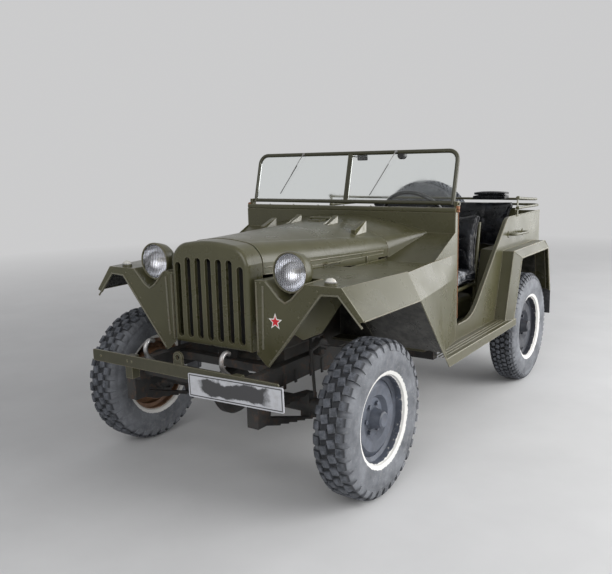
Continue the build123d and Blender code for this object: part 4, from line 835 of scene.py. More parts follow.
def tread_block(shape, across, width, length, turn_degrees, angle):
    """One block: a tapered prism standing on the carcass."""
    low = carcass_radius - 0.006
    depth = lug_radius - low
    stand = Matrix.Rotation(angle, 4, "X") @ Matrix.Translation((across, 0, low + depth / 2))
    skew = Matrix.Rotation(math.radians(turn_degrees), 4, "Z")
    stand = stand @ skew @ Matrix.Diagonal((width, length, 1, 1))
    corner = math.sqrt(0.5)
    bmesh.ops.create_cone(
        shape, cap_ends=True, segments=4, radius1=corner * 1.08, radius2=corner * 0.92, depth=depth,
        matrix=stand @ Matrix.Rotation(math.radians(45), 4, "Z"))


def shoulder_block(shape, outline, side, angle, half_angle):
    """A block that wraps over the shoulder: its outline spun through a small angle."""
    around = Matrix.Rotation(angle - half_angle, 3, "X")
    ring = [shape.verts.new(around @ Vector((side * across, 0, radius))) for across, radius in outline]
    face = shape.faces.new(ring)
    bmesh.ops.spin(
        shape, geom=[face], cent=(0, 0, 0), axis=(1, 0, 0), angle=2 * half_angle, steps=2, use_merge=False,
        use_duplicate=False)


def make_tyre(name, node, centre, body, finish, blocks, outline, pitches, fill, along_y=False):
    """A whole tyre, built round the X axis, then set at its axle."""
    shape = bmesh.new()
    full_outline = carcass_outline + [(-across, radius) for across, radius in reversed(carcass_outline)]
    turned(shape, full_outline, (0, 0, 0), (1, 0, 0), 96)
    bmesh.ops.recalc_face_normals(shape, faces=shape.faces)
    tread = bmesh.new()
    pitch = math.tau / pitches
    for across, width, length, skew, place in blocks:
        tread_block(tread, across, width, length, skew, place * pitch)
    for side, place in ((-1, 0.5), (1, 0.0)):
        shoulder_block(tread, outline, side, place * pitch, pitch * fill / 2)
    bmesh.ops.recalc_face_normals(tread, faces=tread.faces)
    bmesh.ops.spin(
        tread, geom=tread.verts[:] + tread.edges[:] + tread.faces[:], cent=(0, 0, 0), axis=(1, 0, 0),
        angle=math.tau - pitch, steps=pitches - 1, use_duplicate=True, use_merge=False)
    copied = bpy.data.meshes.new("tread copy")
    tread.to_mesh(copied)
    tread.free()
    shape.from_mesh(copied)
    bpy.data.meshes.remove(copied)
    place = Matrix.Translation(centre)
    if along_y:
        place = place @ Matrix.Rotation(math.radians(90), 4, "Z")
    bmesh.ops.transform(shape, matrix=place, verts=shape.verts)
    piece = make_piece(name, shape, body, finish, sharp=38, merge=0)
    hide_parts(node)
    return piece


# a tread: its blocks, its shoulder's outline, the pitches round the tyre, and the shoulder's fill
mud_tread = (mud_blocks, shoulder_outline, 34, 0.56)
road_tread = (road_blocks, road_shoulder_outline, 58, 0.62)
tyres = []
for corner, centre in axle_places.items():
    tread = mud_tread if corner.startswith("front") else road_tread
    tyres.append(make_tyre(
        f"{corner}_treaded_tyre", f"{corner}_tyre", centre, f"{corner}_wheel", rubbers[corner], *tread))
tyres.append(make_tyre(
    "spare_treaded_tyre", "spare_tyre", spare_place, "car", rubbers["spare"], *road_tread, along_y=True))
print("tyres", {tyre.name: len(tyre.data.polygons) for tyre in tyres})

# %% [markdown]
# ## Headlamps
# Each lamp is a hollow bowl with a silvered dish, a small bulb and a domed glass. All four are
# outlines spun about the lamp's axis. The dish is what makes a lamp look bright in daylight, because
# it gathers the sky, so it is a real bowl behind real glass and not a painted disc.

# %% Headlamps
lamp_centre = at(427, -181.5, 1049)
bowl_outline = [
    (0.004, 0.0862), (0.0075, 0.0885), (0.0075, 0.0925), (0.003, 0.0948), (-0.006, 0.0948),
    (-0.0095, 0.0915), (-0.030, 0.0905), (-0.060, 0.082), (-0.085, 0.064), (-0.102, 0.038), (-0.109, 0.012),
    (-0.1095, 0.0004), (-0.107, 0.0004), (-0.099, 0.036), (-0.083, 0.061), (-0.058, 0.079), (-0.030, 0.0868),
    (0.0, 0.0862),
]
dish_outline = [
    (-0.002, 0.0852), (-0.020, 0.0800), (-0.042, 0.0680), (-0.060, 0.0500), (-0.070, 0.0310),
    (-0.0745, 0.0120), (-0.0760, 0.0120), (-0.0715, 0.0315), (-0.0615, 0.0508), (-0.043, 0.0692),
    (-0.0205, 0.0813), (-0.002, 0.0862),
]
lens_outline = [
    (0.0135, 0.0004), (0.0125, 0.030), (0.0095, 0.056), (0.0045, 0.077), (0.0015, 0.0856), (-0.0015, 0.0856),
    (0.0015, 0.076), (0.0065, 0.055), (0.0095, 0.029), (0.0105, 0.0004),
]
bulb_outline = [
    (-0.078, 0.0004), (-0.078, 0.011), (-0.062, 0.011), (-0.060, 0.0075), (-0.052, 0.0115), (-0.040, 0.013),
    (-0.030, 0.010), (-0.0255, 0.0004),
]
lamp_parts = [
    ("headlamp_bowls", bowl_outline, body_olive, "olive_paint"),
    ("headlamp_dishes", dish_outline, reflector_silver, "bare_steel"),
    ("headlamp_glasses", lens_outline, lamp_glass, "lamp_glass"),
    ("headlamp_bulbs", bulb_outline, marker_white, "marker_lens"),
]
for name, outline, finish, slot in lamp_parts:
    shape = bmesh.new()
    turned(shape, outline, lamp_centre, (0, -1, 0), 64)
    if name == "headlamp_bowls":
        round_bar(shape, at(427, -122, 972), at(427, -122, 917), 0.015, 0.021, 24)
        slab(shape, at(404, -144, 917), at(450, -100, 922), 0.0015)
        slab(shape, at(424, -192, 951), at(430, -182, 961), 0.001)
    both_halves(shape)
    piece = make_piece(name, shape, "car", finish, sharp=40)
    if name == "headlamp_bowls":
        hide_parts("headlamp_shells")
    if name == "headlamp_glasses":
        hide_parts("headlamp_lenses")
print("headlamp pieces", len(lamp_parts))

# %% [markdown]
# ## Marker lamps
# Each front fender carries a small parking lamp: a painted base, a bright ring and a domed pale lens.
# The dome is spun upright and then stretched across, because the real one is oval.

# %% Marker lamps
marker_parts = [
    (
        "marker_lamp_bases",
        [(0.0, 0.0004), (0.0, 0.0195), (0.006, 0.0195), (0.009, 0.0175), (0.009, 0.0004)], body_olive,
        "olive_paint"
    ),
    (
        "marker_lamp_rings",
        [(0.009, 0.0165), (0.009, 0.0188), (0.0125, 0.0188), (0.0135, 0.0172), (0.0125, 0.0160)],
        bright_steel, "bare_steel"
    ),
    (
        "marker_lamp_domes",
        [
            (0.009, 0.0004), (0.009, 0.0164), (0.0135, 0.0162), (0.0200, 0.0145), (0.0255, 0.0105),
            (0.0285, 0.0055), (0.0293, 0.0004)
        ],
        marker_white, "marker_lens"
    ),
]
for name, outline, finish, slot in marker_parts:
    shape = bmesh.new()
    turned(shape, outline, (0, 0, 0), (0, 0, 1), 40)
    bmesh.ops.scale(shape, vec=(1.65, 1.0, 1.0), verts=shape.verts)
    bmesh.ops.translate(shape, vec=at(640, -180, 1010.2), verts=shape.verts)
    both_halves(shape)
    piece = make_piece(name, shape, "car", finish)
    if name == "marker_lamp_domes":
        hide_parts("marker_lamps")
print("marker lamps", len(marker_parts))

# %% [markdown]
# ## The star
# The painted star is a thin decal. A ten-sided disc whose every second corner is drawn in makes it,
# first a larger white one and then a smaller red one that stands a little further out.

# %% Star on the left front panel
star_red = enamel("star red", (0.62, 0.018, 0.03), (0.35, 0.02, 0.02), 0.4, 0.35)
star_white = enamel("star white", (0.80, 0.79, 0.76), (0.5, 0.48, 0.42), 0.4, 0.35)
panel_face = at(371, -229.7, 827)
for name, size, stand, finish in (
    ("star_outline", 0.0400, 0.0006, star_white), ("star_field", 0.0275, 0.0011, star_red)
):
    shape = bmesh.new()
    rim = bmesh.ops.create_circle(shape, cap_ends=True, segments=10, radius=size)["verts"]
    for vert in rim[1::2]:
        vert.co *= 0.42
    bmesh.ops.rotate(
        shape, verts=shape.verts, cent=(0, 0, 0), matrix=Matrix.Rotation(math.radians(90), 3, "X")
    )
    bmesh.ops.translate(shape, vec=panel_face, verts=shape.verts)
    thicken(shape, shape.faces[:], (0, -stand, 0))
    make_piece(name, shape, "car", finish, sharp=20)
print("star width", 0.08)

# %% [markdown]
# ## Beads and rolled edges
# Pressed sheet is stiffened by beads and rolled edges, and these catch the light in thin lines. Each
# one is a wire laid half into the sheet; the front panels' beads are in a paler olive as a painted
# highlight. Where the sheet is curved, `touch` casts a ray onto the construction mesh, so that the
# wire lies on the real surface and not near it.

# %% Beads on the body
def surface_of(node):
    """A search tree over a construction node's mesh."""
    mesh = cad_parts[node].data
    return BVHTree.FromPolygons(
        [vert.co for vert in mesh.vertices], [tuple(face.vertices) for face in mesh.polygons]
    )


def touch(tree, start, direction):
    """Where a ray first meets the surface."""
    place = tree.ray_cast(start, Vector(direction).normalized())[0]
    if place is None:
        print("ray missed from", tuple(round(v, 3) for v in start))
    return place


front_face = -229.6
# columns: points across and up on the front panel, and the wire's radius
panel_beads = [
    ([(322, 1006), (394, 934), (427, 917), (460, 934), (532, 1006)], 0.0052),
    ([(306, 985), (303, 880), (297, 690)], 0.0058),
    ([(822, 846), (706, 974), (620, 970), (604, 952), (464, 781), (330, 617)], 0.0050),
    ([(268, 1000), (268, 672)], 0.0048),
]
shape = bmesh.new()
for points, radius in panel_beads:
    bent_wire(shape, [at(x, front_face, z) for x, z in points], radius, smooth=False)
both_halves(shape)
make_piece("front_panel_beads", shape, "car", highlight_olive, merge=0)

lid = surface_of("bonnet")
shape = bmesh.new()
# columns: height of the bead at the front and at the rear of the bonnet, and its radius
for front_z, rear_z, radius in ((1052, 1047, 0.0045), (1020, 1030, 0.0025)):
    line = []
    for step in range(13):
        y = -130 + step * 68
        spot = touch(lid, at(900, y, front_z + (rear_z - front_z) * step / 12), (-1, 0, 0))
        if spot:
            line.append(spot - Vector((radius * 0.3, 0, 0)))
    bent_wire(shape, line, radius, smooth=False)
both_halves(shape)
make_piece("bonnet_side_beads", shape, "bonnet", body_olive, merge=0)
print("beads on the front panels and the bonnet")

# %% [markdown]
# ## Windscreen fittings
# Two wipers hang from the top rail, each on a small pivot, and the driver's one has a motor behind
# the rail. A thin blade with a rubber edge lies in front of the glass. A small mirror hangs behind
# the rail on a thin arm, beside the centre post.

# %% Wipers and mirror
screen_lean = math.radians(14.5)
screen_out = Vector((0, -math.cos(screen_lean), math.sin(screen_lean)))
rubber_parts, steel_parts = bmesh.new(), bmesh.new()
glass_foot_y, glass_foot_z = 1003, 1282


def behind_foot(z):
    """How far back the leaning glass lies at a height, in millimetres."""
    return glass_foot_y + (z - glass_foot_z) * math.tan(screen_lean)


def on_glass(x, z, stand):
    """A place a little in front of the glass."""
    return at(x, behind_foot(z), z) + screen_out * stand


# columns: pivot across and up, blade's end across and up
wiper_rows = [(312, 1571, 163, 1322), (-343, 1571, -494, 1328)]
for pivot_x, pivot_z, end_x, end_z in wiper_rows:
    pivot, end = on_glass(pivot_x, pivot_z, 0.018), on_glass(end_x, end_z, 0.010)
    along = end - pivot
    bent_wire(
        steel_parts,
        [
            pivot, pivot + along * 0.1 + screen_out * 0.004, pivot + along * 0.55 + screen_out * 0.002,
            pivot + along * 0.62 - screen_out * 0.004
        ],
        0.0022
    )
    round_bar(steel_parts, pivot + screen_out * 0.003, pivot - screen_out * 0.012, 0.007, 0.009, 20)
    blade_low, blade_high = pivot + along * 0.28, end
    bent_wire(steel_parts, [blade_low, blade_high], 0.0020, smooth=False)
    offset = -screen_out * 0.0035
    bent_wire(rubber_parts, [blade_low + offset, blade_high + offset], 0.0016, smooth=False)
# the wiper motor hangs behind the rail
motor_place = at(338, behind_foot(1553) + 20, 1553)
turned(
    rubber_parts,
    [(-0.024, 0.0004), (-0.024, 0.018), (-0.018, 0.023), (0.016, 0.023), (0.022, 0.018), (0.022, 0.0004)],
    motor_place, (0, 1, 0), 32
)
slab(rubber_parts, at(36, 1072 + 16, 1528), at(106, 1072 + 24, 1566), 0.006)
bent_wire(steel_parts, [at(8, 1074, 1556), at(22, 1086, 1552), at(44, 1094, 1548)], 0.0035)
make_piece("wiper_arms", steel_parts, "windscreen", bright_steel, merge=0)
make_piece("wiper_rubbers_and_mirror", rubber_parts, "windscreen", knob_black, merge=0)
print("wipers", len(wiper_rows))

# %% [markdown]
# ## Seats
# The seats are sprung cushions under black leathercloth. A flat block can't show how such a cover
# is stretched: it is fullest in the middle, its sides pull in between the corners, and it creases.
# So each cushion starts as a slightly small crowned form, is remeshed finely, and is blown up by the
# cloth solver. No point may move further than a cap. The sewn channels and the creases are pressed
# in afterwards, because the remesh would close them. The creases follow noise that was seeded at
# the top of the file, because its offsets would otherwise change with the clock.

# %% Cushion maker
def crowned_form(size, crown):
    """A pillow form on its flat side: full in the middle, pulled in between its corners."""
    shape = bmesh.new()
    bmesh.ops.create_cube(shape, size=1)
    bmesh.ops.subdivide_edges(shape, edges=shape.edges[:], cuts=11, use_grid_fill=True)
    half = Vector(size) / 2
    for vert in shape.verts:
        u, v, w = (2 * c for c in vert.co)
        full = max(0.0, (1 - u * u) * (1 - v * v))
        thick = 0.66 + 0.34 * full ** 0.35
        vert.co = Vector((
            u * half.x * (1 - 0.035 * (1 - v * v)), v * half.y * (1 - 0.035 * (1 - u * u)),
            w * half.z * thick + (crown * full if w > 0 else 0)))
    bmesh.ops.smooth_vert(
        shape, verts=shape.verts, factor=0.5, use_axis_x=True, use_axis_y=True, use_axis_z=True
    )
    return shape


def blown_up(shape, voxel, cap, pressure=4.0):
    """Remesh the form finely, let the cloth solver fill it, and hold every point within the cap."""
    mesh = bpy.data.meshes.new("cushion form")
    shape.to_mesh(mesh)
    shape.free()
    holder = bpy.data.objects.new("cushion form", mesh)
    bpy.context.scene.collection.objects.link(holder)
    remesh = holder.modifiers.new("remesh", "REMESH")
    remesh.mode, remesh.voxel_size = "VOXEL", voxel
    bpy.context.view_layer.update()
    fine = bpy.data.meshes.new_from_object(holder.evaluated_get(bpy.context.evaluated_depsgraph_get()))
    holder.modifiers.clear()
    holder.data = fine
    before = [vert.co.copy() for vert in fine.vertices]
    cloth = holder.modifiers.new("cloth", "CLOTH")
    cloth.settings.use_pressure = True
    cloth.settings.uniform_pressure_force = pressure
    cloth.settings.effector_weights.gravity = 0
    cloth.settings.quality = 4
    cloth.settings.shrink_min = -0.05
    cloth.settings.tension_stiffness = cloth.settings.compression_stiffness = 20
    for moment in range(1, 21):
        bpy.context.scene.frame_set(moment)
    filled = bpy.data.meshes.new_from_object(
        holder.evaluated_get(bpy.context.evaluated_depsgraph_get())
    )
    holder.modifiers.clear()
    bpy.context.scene.frame_set(1)
    for vert, start in zip(filled.vertices, before):
        move = vert.co - start
        if move.length > cap:
            vert.co = start + move * (cap / move.length)
    holder.data = filled
    result = bmesh.new()
    result.from_mesh(holder.data)
    bpy.data.objects.remove(holder)
    return result


def press_in(shape, channels, seed, crease_depth, face_up=0.25):
    """Press sewn channels into the front face, and creases all over."""
    shape.normal_update()
    moves = []
    for vert in shape.verts:
        depth = 0.0
        for axis, place in channels:
            near = vert.co[axis] - place
            if vert.normal.z > face_up:
                depth += 0.0085 * math.exp(-((near / 0.0075) ** 2))
        where = Vector((vert.co.x * 9, vert.co.y * 14, vert.co.z * 9)) + Vector((seed * 7.3, seed * 3.1, 0))
        fold = noise.noise(where + 0.35 * noise.noise_vector(where * 0.6))
        depth += crease_depth * max(0.0, 1 - abs(fold) / 0.16) ** 2
        depth -= crease_depth * 0.6 * noise.noise(where * 0.5)
        moves.append(-depth * vert.normal)
    for vert, move in zip(shape.verts, moves):
        vert.co += move
    bmesh.ops.smooth_vert(
        shape, verts=shape.verts, factor=0.35, use_axis_x=True, use_axis_y=True, use_axis_z=True
    )


def seam_on(tree, half_x, half_y, level, corner=0.03, steps=10):
    """A closed rounded rectangle laid on the cushion: points of its seam."""
    ring = []
    for sign_x, sign_y, first in ((1, 1, 0), (-1, 1, 90), (-1, -1, 180), (1, -1, 270)):
        for step in range(steps + 1):
            angle = math.radians(first + 90 * step / steps)
            x = sign_x * (half_x - corner) + corner * math.cos(angle)
            y = sign_y * (half_y - corner) + corner * math.sin(angle)
            ring.append((x, y))
    dense = []
    for i, (x, y) in enumerate(ring):
        next_x, next_y = ring[(i + 1) % len(ring)]
        parts = max(1, round(math.hypot(next_x - x, next_y - y) / 0.012))
        dense += [(x + (next_x - x) * k / parts, y + (next_y - y) * k / parts) for k in range(parts)]
    return [tree.find_nearest(Vector((x, y, level)))[0] for x, y in dense]


piping_hide = leathercloth("worn piping", (0.05, 0.05, 0.052), (0.36, 0.35, 0.33), 0.6)
seat_channels = [(0, across) for across in (-0.375, -0.1875, 0.0, 0.1875, 0.375)]
# columns: name, size, crown, voxel, cap, channels, crease depth, fill, finish
cushion_rows = [
    ("front_cushion", (0.412, 0.350, 0.074), 0.010, 0.0065, 0.011, [], 0.0040, 0.75, dusty_highlit_hide),
    ("front_backrest", (0.410, 0.376, 0.068), 0.008, 0.0065, 0.011, [], 0.0026, 0.85, black_hide),
    ("rear_bench_seat", (1.128, 0.410, 0.096), 0.010, 0.0095, 0.012, seat_channels, 0.0022, 0.8, black_hide),
    ("rear_bench_back", (1.128, 0.330, 0.064), 0.008, 0.0090, 0.011, seat_channels, 0.0022, 0.8, black_hide),
]
lay_back = Matrix.Rotation(math.radians(90), 4, "X")
seat_x, rest_lean, bench_lean = 0.415, math.radians(-11), math.radians(-4)
rest_place = Matrix.Translation(at(0, 1567, 782)) @ Matrix.Rotation(rest_lean, 4, "X")
rest_place = rest_place @ Matrix.Translation((0, -0.044, 0.198)) @ lay_back
bench_place = Matrix.Translation(at(0, 2403, 868)) @ Matrix.Rotation(bench_lean, 4, "X")
bench_place = bench_place @ Matrix.Translation((0, -0.042, 0.175)) @ lay_back
cushion_places = {
    "front_cushion": (Matrix.Translation(at(0, 1374, 795)), "front_cushions", (seat_x, -seat_x)),
    "front_backrest": (rest_place, "front_backrests", (seat_x, -seat_x)),
    "rear_bench_seat": (Matrix.Translation(at(0, 2115, 800)), "rear_bench", (0,)),
    "rear_bench_back": (bench_place, "rear_bench", (0,)),
}
print("cushions", len(cushion_rows))

# %% Make the cushions and their piping
piping = bmesh.new()
for row, (name, size, crown, voxel, cap, channels, crease, fill, finish) in enumerate(cushion_rows):
    master = blown_up(crowned_form(size, crown), voxel, cap)
    place, node, columns = cushion_places[name]
    for column, across in enumerate(columns):
        shape = master.copy()
        if across < 0:
            bmesh.ops.scale(shape, vec=(-1, 1, 1), verts=shape.verts)
            bmesh.ops.reverse_faces(shape, faces=shape.faces)
        press_in(shape, channels, row * 2 + column + 1, crease)
        stand = Matrix.Translation((across, 0, 0)) @ place
        tree = BVHTree.FromBMesh(shape)
        for level in (size[2] * 0.30, -size[2] * 0.30):
            ring = seam_on(tree, size[0] / 2 + 0.004, size[1] / 2 + 0.004, level)
            bent_wire(piping, [stand @ point for point in ring], 0.0030, smooth=False, cyclic=True, sides=2)
        bmesh.ops.transform(shape, matrix=stand, verts=shape.verts)
        label = name if len(columns) == 1 else ("left_" if across > 0 else "right_") + name
        piece = make_piece(label, shape, "car", finish, sharp=180, merge=0)
        subdivide = piece.modifiers.new("subdivision", "SUBSURF")
        subdivide.levels = subdivide.render_levels = 1
        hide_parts(node)
        print(label, "points", len(piece.data.vertices))
    master.free()
make_piece("seat_piping", piping, "car", piping_hide, merge=0)

# %% [markdown]
# ## Hood bows
# The folded hood's two bows are steel tubes that lie round the rear of the tub on slim brackets. The
# construction model has them as one solid for collision. Here each bow is a bent tube with a flat
# bracket, a saddle and a bolt.

# %% Hood bows
def rounded_line(corners, radii, steps=8):
    """The points of a line whose corners are rounded by arcs."""
    line = [Vector(corners[0])]
    for before, corner, after, radius in zip(corners, corners[1:], corners[2:], radii):
        corner = Vector(corner)
        inward, outward = (Vector(before) - corner).normalized(), (Vector(after) - corner).normalized()
        half = inward.angle(outward) / 2
        reach = radius / math.tan(half)
        middle = corner + (inward + outward).normalized() * radius / math.sin(half)
        start, end = corner + inward * reach - middle, corner + outward * reach - middle
        for step in range(steps + 1):
            line.append(middle + start.normalized().slerp(end.normalized(), step / steps) * radius)
    line.append(Vector(corners[-1]))
    return line


bow_x, bow_front_y = 734, 1992
shape = bmesh.new()
# columns: rear place along the car, height in front, height behind
bow_rows = [(2466, 1258, 1222), (2500, 1192, 1182)]
for rear_y, front_z, rear_z in bow_rows:
    corners = [
        at(bow_x, bow_front_y - 12, front_z), at(bow_x, rear_y, rear_z), at(-bow_x, rear_y, rear_z),
        at(-bow_x, bow_front_y - 12, front_z)
    ]
    bent_wire(shape, rounded_line(corners, (0.09, 0.09)), 0.0088, smooth=False, sides=4)
brackets = bmesh.new()
slab(brackets, at(729, 1982, 1140), at(735, 2006, 1262), 0.002)
slab(brackets, at(722, 1978, 1136), at(738, 2010, 1150), 0.003)
for rear_y, front_z, rear_z in bow_rows:
    round_bar(brackets, at(734, 1985, front_z), at(734, 2004, front_z), 0.0125, sides=20)
    round_bar(brackets, at(738, 1994, front_z), at(745.5, 1994, front_z), 0.006, 0.005, 6)
both_halves(brackets)
bows = make_piece("hood_bow_tubes", shape, "car", body_olive, merge=0)
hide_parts("hood_bows")
make_piece("hood_bow_brackets", brackets, "car", body_olive, merge=0)
print("hood bows", len(bow_rows))

# %% [markdown]
# ## Edges of the tub
# The scalloped door opening has a rolled edge. The front edge of the opening has lost its paint and
# shows a thin rusty line. The running board has three pressed ribs for grip. `edge_rolls` finds the
# sharp edges of a construction mesh and lays a thin bar along each one that is asked for, held
# inside the car's width. The rolled edge, the ribs and these bars wear the paler olive as a painted
# highlight of the light they catch.

# %% Rolled edges and ribs
door_line = rounded_line([(0, 1012, 598), (0, 1222, 598), (0, 1812, 1142), (0, 2488, 1142)], (300, 110))
shape = bmesh.new()
bent_wire(shape, [at(728, point.y, point.z) for point in door_line], 0.0045, smooth=False)
bent_wire(shape, [at(840, 600, 511), at(840, 1688, 511)], 0.0022, smooth=False)
for across in (764, 786, 808):
    bent_wire(shape, [at(across, 625, 511.4), at(across, 1585, 511.4)], 0.0030, smooth=False)
both_halves(shape)
make_piece("rolled_edges_and_ribs", shape, "car", highlight_olive, merge=0)

fender_half = 0.842


def edge_rolls(shape, node, keep, radius):
    """Lay a bar along each sharp edge of a construction node that `keep` picks."""
    sheet = bmesh.new()
    sheet.from_mesh(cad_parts[node].data)
    bmesh.ops.remove_doubles(sheet, verts=sheet.verts, dist=0.00002)
    laid = 0
    for edge in sheet.edges:
        if len(edge.link_faces) != 2 or edge.calc_length() < 0.03:
            continue
        if edge.calc_face_angle() < math.radians(33):
            continue
        first, last = (vert.co.copy() for vert in edge.verts)
        if not (keep(first) and keep(last)):
            continue
        for end in (first, last):
            end.x = math.copysign(min(abs(end.x), fender_half - radius), end.x)
        round_bar(shape, first, last, radius, sides=8)
        laid += 1
    sheet.free()
    print("edges rolled on", node, laid)


shape = bmesh.new()
edge_rolls(shape, "front_fenders", lambda place: abs(place.x) > 0.80 and place.z < 0.90, 0.0036)
edge_rolls(shape, "rear_fenders", lambda place: abs(place.x) > 0.785, 0.0038)
edge_rolls(shape, "running_boards", lambda place: abs(place.x) > 0.83, 0.0024)
edge_rolls(shape, "cowl_sides", lambda place: abs(place.x) > 0.755, 0.0026)
edge_rolls(shape, "rear_panel", lambda place: place.z > 1.135, 0.0030)
make_piece("rolled_sheet_edges", shape, "car", highlight_olive, merge=0)

bare_rust = worn_metal(
    "bare rusty edge", (0.22, 0.085, 0.035), (0.30, 0.16, 0.09), rust=0.6, dust=0.5, roughness=0.7
)
shape = bmesh.new()
bent_wire(shape, [at(730.5, 993, 640), at(730.5, 993, 1234)], 0.0022, smooth=False)
for across, up, size in ((728, 1262, 0.012), (728, 1244, 0.009)):
    round_bar(shape, at(across - 2, 985, up), at(across + 12, 985, up), size, size * 0.8, 20)
both_halves(shape)
make_piece("rusty_door_edges", shape, "car", bare_rust, merge=0)
print("edges done")

# %% [markdown]
# ## Fasteners and fittings
# Small repeated parts give a vehicle its scale: rivets in rows, carriage bolts in the bumper, clasps
# on the bonnet. A rivet is a low-count sphere pressed flat, because it is repeated many times.

# %% Rivets, bolts and clasps
def rivet(shape, place, radius, flat_axis):
    """A domed rivet head, flattened along one axis."""
    scale = [radius] * 3
    scale[flat_axis] *= 0.5
    stand = Matrix.Translation(place) @ Matrix.Diagonal((*scale, 1))
    bmesh.ops.create_uvsphere(shape, u_segments=8, v_segments=6, radius=1, matrix=stand)


shape = bmesh.new()
for across in (-520, -330, -300, 300, 330, 520):
    rivet(shape, at(across, -494, 611), 0.007, 1)
for along in range(9):
    for side in (-1, 1):
        rivet(shape, at(side * 839.5, 640 + along * 125, 488), 0.0045, 0)
panel_rivets = [
    (336, 640), (372, 690), (410, 738), (290, 1000), (290, 700), (600, 985), (500, 860), (560, 930)
]
for across, up in panel_rivets:
    for side in (-1, 1):
        rivet(shape, at(side * across, -229.5, up), 0.0045, 1)
for across in (-560, -373, -187, 0, 187, 373, 560):
    rivet(shape, at(across, 981, 1262), 0.005, 1)
make_piece("rivets_and_bolts", shape, "car", body_olive, merge=0)

shape = bmesh.new()
ends = [touch(lid, at(900, y, 1022), (-1, 0, 0)) for y in (245, 360)]
out = Vector((0.017, 0, 0.004))
handle_line = rounded_line([ends[0], ends[0] + out, ends[1] + out, ends[1]], (0.006, 0.006))
bent_wire(shape, handle_line, 0.0038, smooth=False)
for end in ends:
    round_bar(shape, end - Vector((0.002, 0, 0)), end + Vector((0.0035, 0, 0.0008)), 0.010, 0.008, 16)
spot = touch(lid, at(900, 560, 1012), (-1, 0, 0))
slab(shape, spot + Vector((-0.002, -0.012, -0.018)), spot + Vector((0.006, 0.012, 0.018)), 0.002)
round_bar(shape, spot + Vector((0.007, 0, 0.012)), spot + Vector((0.007, 0, -0.016)), 0.004)
both_halves(shape)
make_piece("bonnet_handles_and_clasps", shape, "bonnet", body_olive, merge=0)
print("fasteners done")

# %% [markdown]
# ## Dashboard dials
# Each dial is a dark face under a bright rim, with a ring of ticks and one needle.

# %% Dials
faces, ticks, rims = bmesh.new(), bmesh.new(), bmesh.new()
dial_y = 1011
# columns: place across and dial radius, in millimetres
dial_rows = [(-70, 52), (70, 52), (-160, 30), (160, 30), (0, 24)]
for across, radius in dial_rows:
    centre, size = at(across, dial_y, 1186), radius / 1000
    turned(
        rims,
        [(0.0, size), (0.004, size), (0.005, size - 0.002), (0.004, size - 0.005), (0.0, size - 0.005)],
        centre, (0, 1, 0), 40
    )
    turned(
        faces, [(0.0, 0.0004), (0.0, size - 0.005), (0.0012, size - 0.005), (0.0012, 0.0004)], centre,
        (0, 1, 0), 40
    )
    face_middle = Matrix.Translation(centre + Vector((0, 0.0014, 0)))
    for step in range(11):
        angle = math.radians(-130 + 26 * step)
        spoke = face_middle @ Matrix.Rotation(angle, 4, "Y")
        made = slab(ticks, (-0.0006, 0, size * 0.68), (0.0006, 0.0006, size * 0.84))
        bmesh.ops.transform(ticks, matrix=spoke, verts=made)
    made = slab(ticks, (-0.0008, 0.001, -size * 0.15), (0.0008, 0.0016, size * 0.62))
    needle = face_middle @ Matrix.Rotation(math.radians(-95), 4, "Y")
    bmesh.ops.transform(ticks, matrix=needle, verts=made)
make_piece("dial_rims", rims, "car", bright_steel)
make_piece("dial_faces", faces, "car", knob_black)
make_piece("dial_marks", ticks, "car", marker_white, merge=0)
print("dials", len(dial_rows))

# %% [markdown]
# ## A folded pad on the rear seat's back
# The folded black pad is made like the cushions, as two crowned forms one on the other.

# %% Folded pad
shape = crowned_form((0.245, 0.105, 0.034), 0.004)
upper = crowned_form((0.235, 0.098, 0.026), 0.004)
bmesh.ops.translate(upper, vec=(0.004, 0.0, 0.027), verts=upper.verts)
held = bpy.data.meshes.new("upper fold")
upper.to_mesh(held)
upper.free()
shape.from_mesh(held)
press_in(shape, [], 11, 0.0015)
bmesh.ops.transform(shape, matrix=Matrix.Translation(at(408, 2372, 1239)), verts=shape.verts)
pad = make_piece("folded_pad", shape, "car", black_hide, sharp=180, merge=0)
smooth = pad.modifiers.new("subdivision", "SUBSURF")
smooth.levels = smooth.render_levels = 2
print("folded pad")

# %% [markdown]
# ## Tow hooks and bonnet rests
# A tow hook is one forged bar bent into an open C. A bent wire along a few points gives the bend,
# and a flat foot with two nuts ties it to the bumper. The bonnet rests are wedges, whose side faces
# are painted pale as a painted highlight of the daylight from the open side.

# %% Tow hooks and rest faces
shape = bmesh.new()
hook_line = [
    (-402, 700), (-412, 709), (-432, 710), (-450, 696), (-458, 672), (-452, 644), (-434, 622), (-412, 606),
    (-402, 590)
]
bent_wire(shape, [at(238, y, z) for y, z in hook_line], 0.0112, sides=4)
slab(shape, at(214, -410, 572), at(262, -398, 600), 0.003)
for across in (224, 252):
    round_bar(shape, at(across, -412, 590), at(across, -402, 590), 0.007, sides=6)
both_halves(shape)
hooks = make_piece("forged_tow_hooks", shape, "car", bright_steel, merge=0)
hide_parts("tow_hooks")

# Pale paint on the rests' side faces, as a painted highlight of the daylight.
rest_highlight_paint = enamel("worn pale wedge paint", (0.46, 0.45, 0.40), (0.16, 0.15, 0.09), 0.7, 0.45)
shape = bmesh.new()
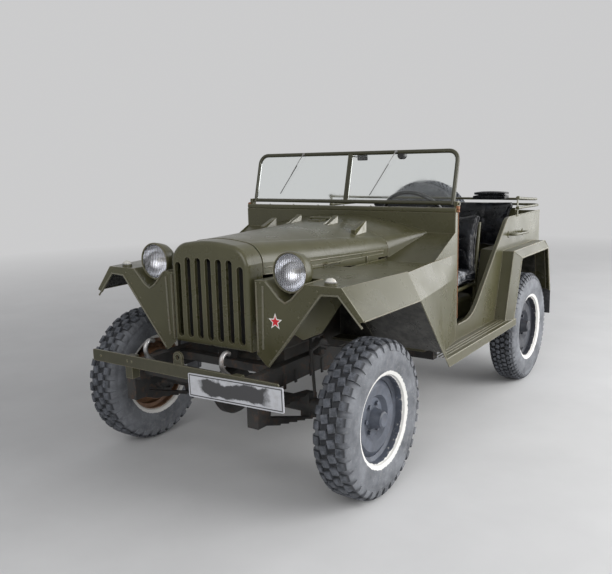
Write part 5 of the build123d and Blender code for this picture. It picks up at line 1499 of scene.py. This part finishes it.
# columns: across, height of the tip
for across, tip in ((-308, 1207), (-125, 1228), (125, 1228), (308, 1207)):
    for side in (-1, 1):
        face_x = across + side * 13.4
        spots = [touch(lid, at(face_x + side * 1.5, y, 1500), (0, 0, -1)) for y in (575, 686)]
        corners = [Vector((at(face_x, 0, 0).x, spot.y, spot.z + 0.001)) for spot in spots]
        corners.append(at(face_x, 688, tip - 3))
        face = shape.faces.new([shape.verts.new(corner) for corner in corners])
        thicken(shape, [face], (side * 0.0012, 0, 0))
make_piece("bonnet_rest_faces", shape, "bonnet", rest_highlight_paint, sharp=20)
print("hooks and rests")

# %% [markdown]
# ## Under the front fenders
# Beside the front wheels hang lever dampers with their links, and the springs' clips. They are
# small, but they fill the dark space over the axle as they do on the real car.

# %% Dampers and clips
shape = bmesh.new()
turned(
    shape,
    [(-0.030, 0.0004), (-0.030, 0.034), (-0.022, 0.044), (0.022, 0.044), (0.030, 0.034), (0.030, 0.0004)],
    at(392, 92, 640), (1, 0, 0), 28
)
slab(shape, at(352, 56, 596), at(376, 128, 690), 0.004)
slab(shape, at(424, 84, 632), at(434, 104, 652), 0.003)
bent_wire(shape, [at(430, 92, 642), at(432, 30, 668), at(434, -40, 660)], 0.0085, smooth=False)
bent_wire(shape, [at(434, -40, 660), at(436, -30, 520), at(432, -14, 424)], 0.0080, smooth=False)
for along in (-150, -60, 70, 170):
    slab(shape, at(350, along - 9, 500 - abs(along) * 0.1), at(358, along + 9, 560), 0.002)
both_halves(shape)
make_piece("front_dampers", shape, "car", road_black, merge=0)
print("front dampers")

# %% [markdown]
# ## Gutters beside the bonnet
# Between the bonnet and the fenders lies a shallow sheet gutter, which keeps road water out of the
# engine bay. It sits just below the bonnet's lower edge, so the bonnet swings clear of it. A narrow
# strip closes the wedge between the cowl's shelf and its side.

# %% Gutters and closing strips
def sheet_of(shape, corners, low_z, high_z):
    """A level sheet of metal with the given (x, y) corners."""
    face = shape.faces.new([shape.verts.new(at(x, y, low_z)) for x, y in corners])
    thicken(shape, [face], (0, 0, (high_z - low_z) / 1000))


shape = bmesh.new()
sheet_of(shape, [(330, 285), (432, 285), (432, 704), (400, 704)], 974, 977)
sheet_of(shape, [(430.5, 291), (433, 291), (433, 700), (430.5, 700)], 974, 1003)
sheet_of(shape, [(348, 285), (432, 285), (432, 288), (348, 288)], 974, 1007)
sheet_of(shape, [(232, -165), (292, -165), (366, 288), (322, 288)], 985, 988)
sheet_of(shape, [(294, -165), (350, -165), (350, -70), (440, -70), (440, -8), (318, -8)], 985, 988)
sheet_of(shape, [(722, 286), (769.5, 286), (727, 672), (722, 672)], 1000.4, 1003.4)
both_halves(shape)
make_piece("gutters_and_strips", shape, "car", body_olive, merge=0)
print("gutters done")
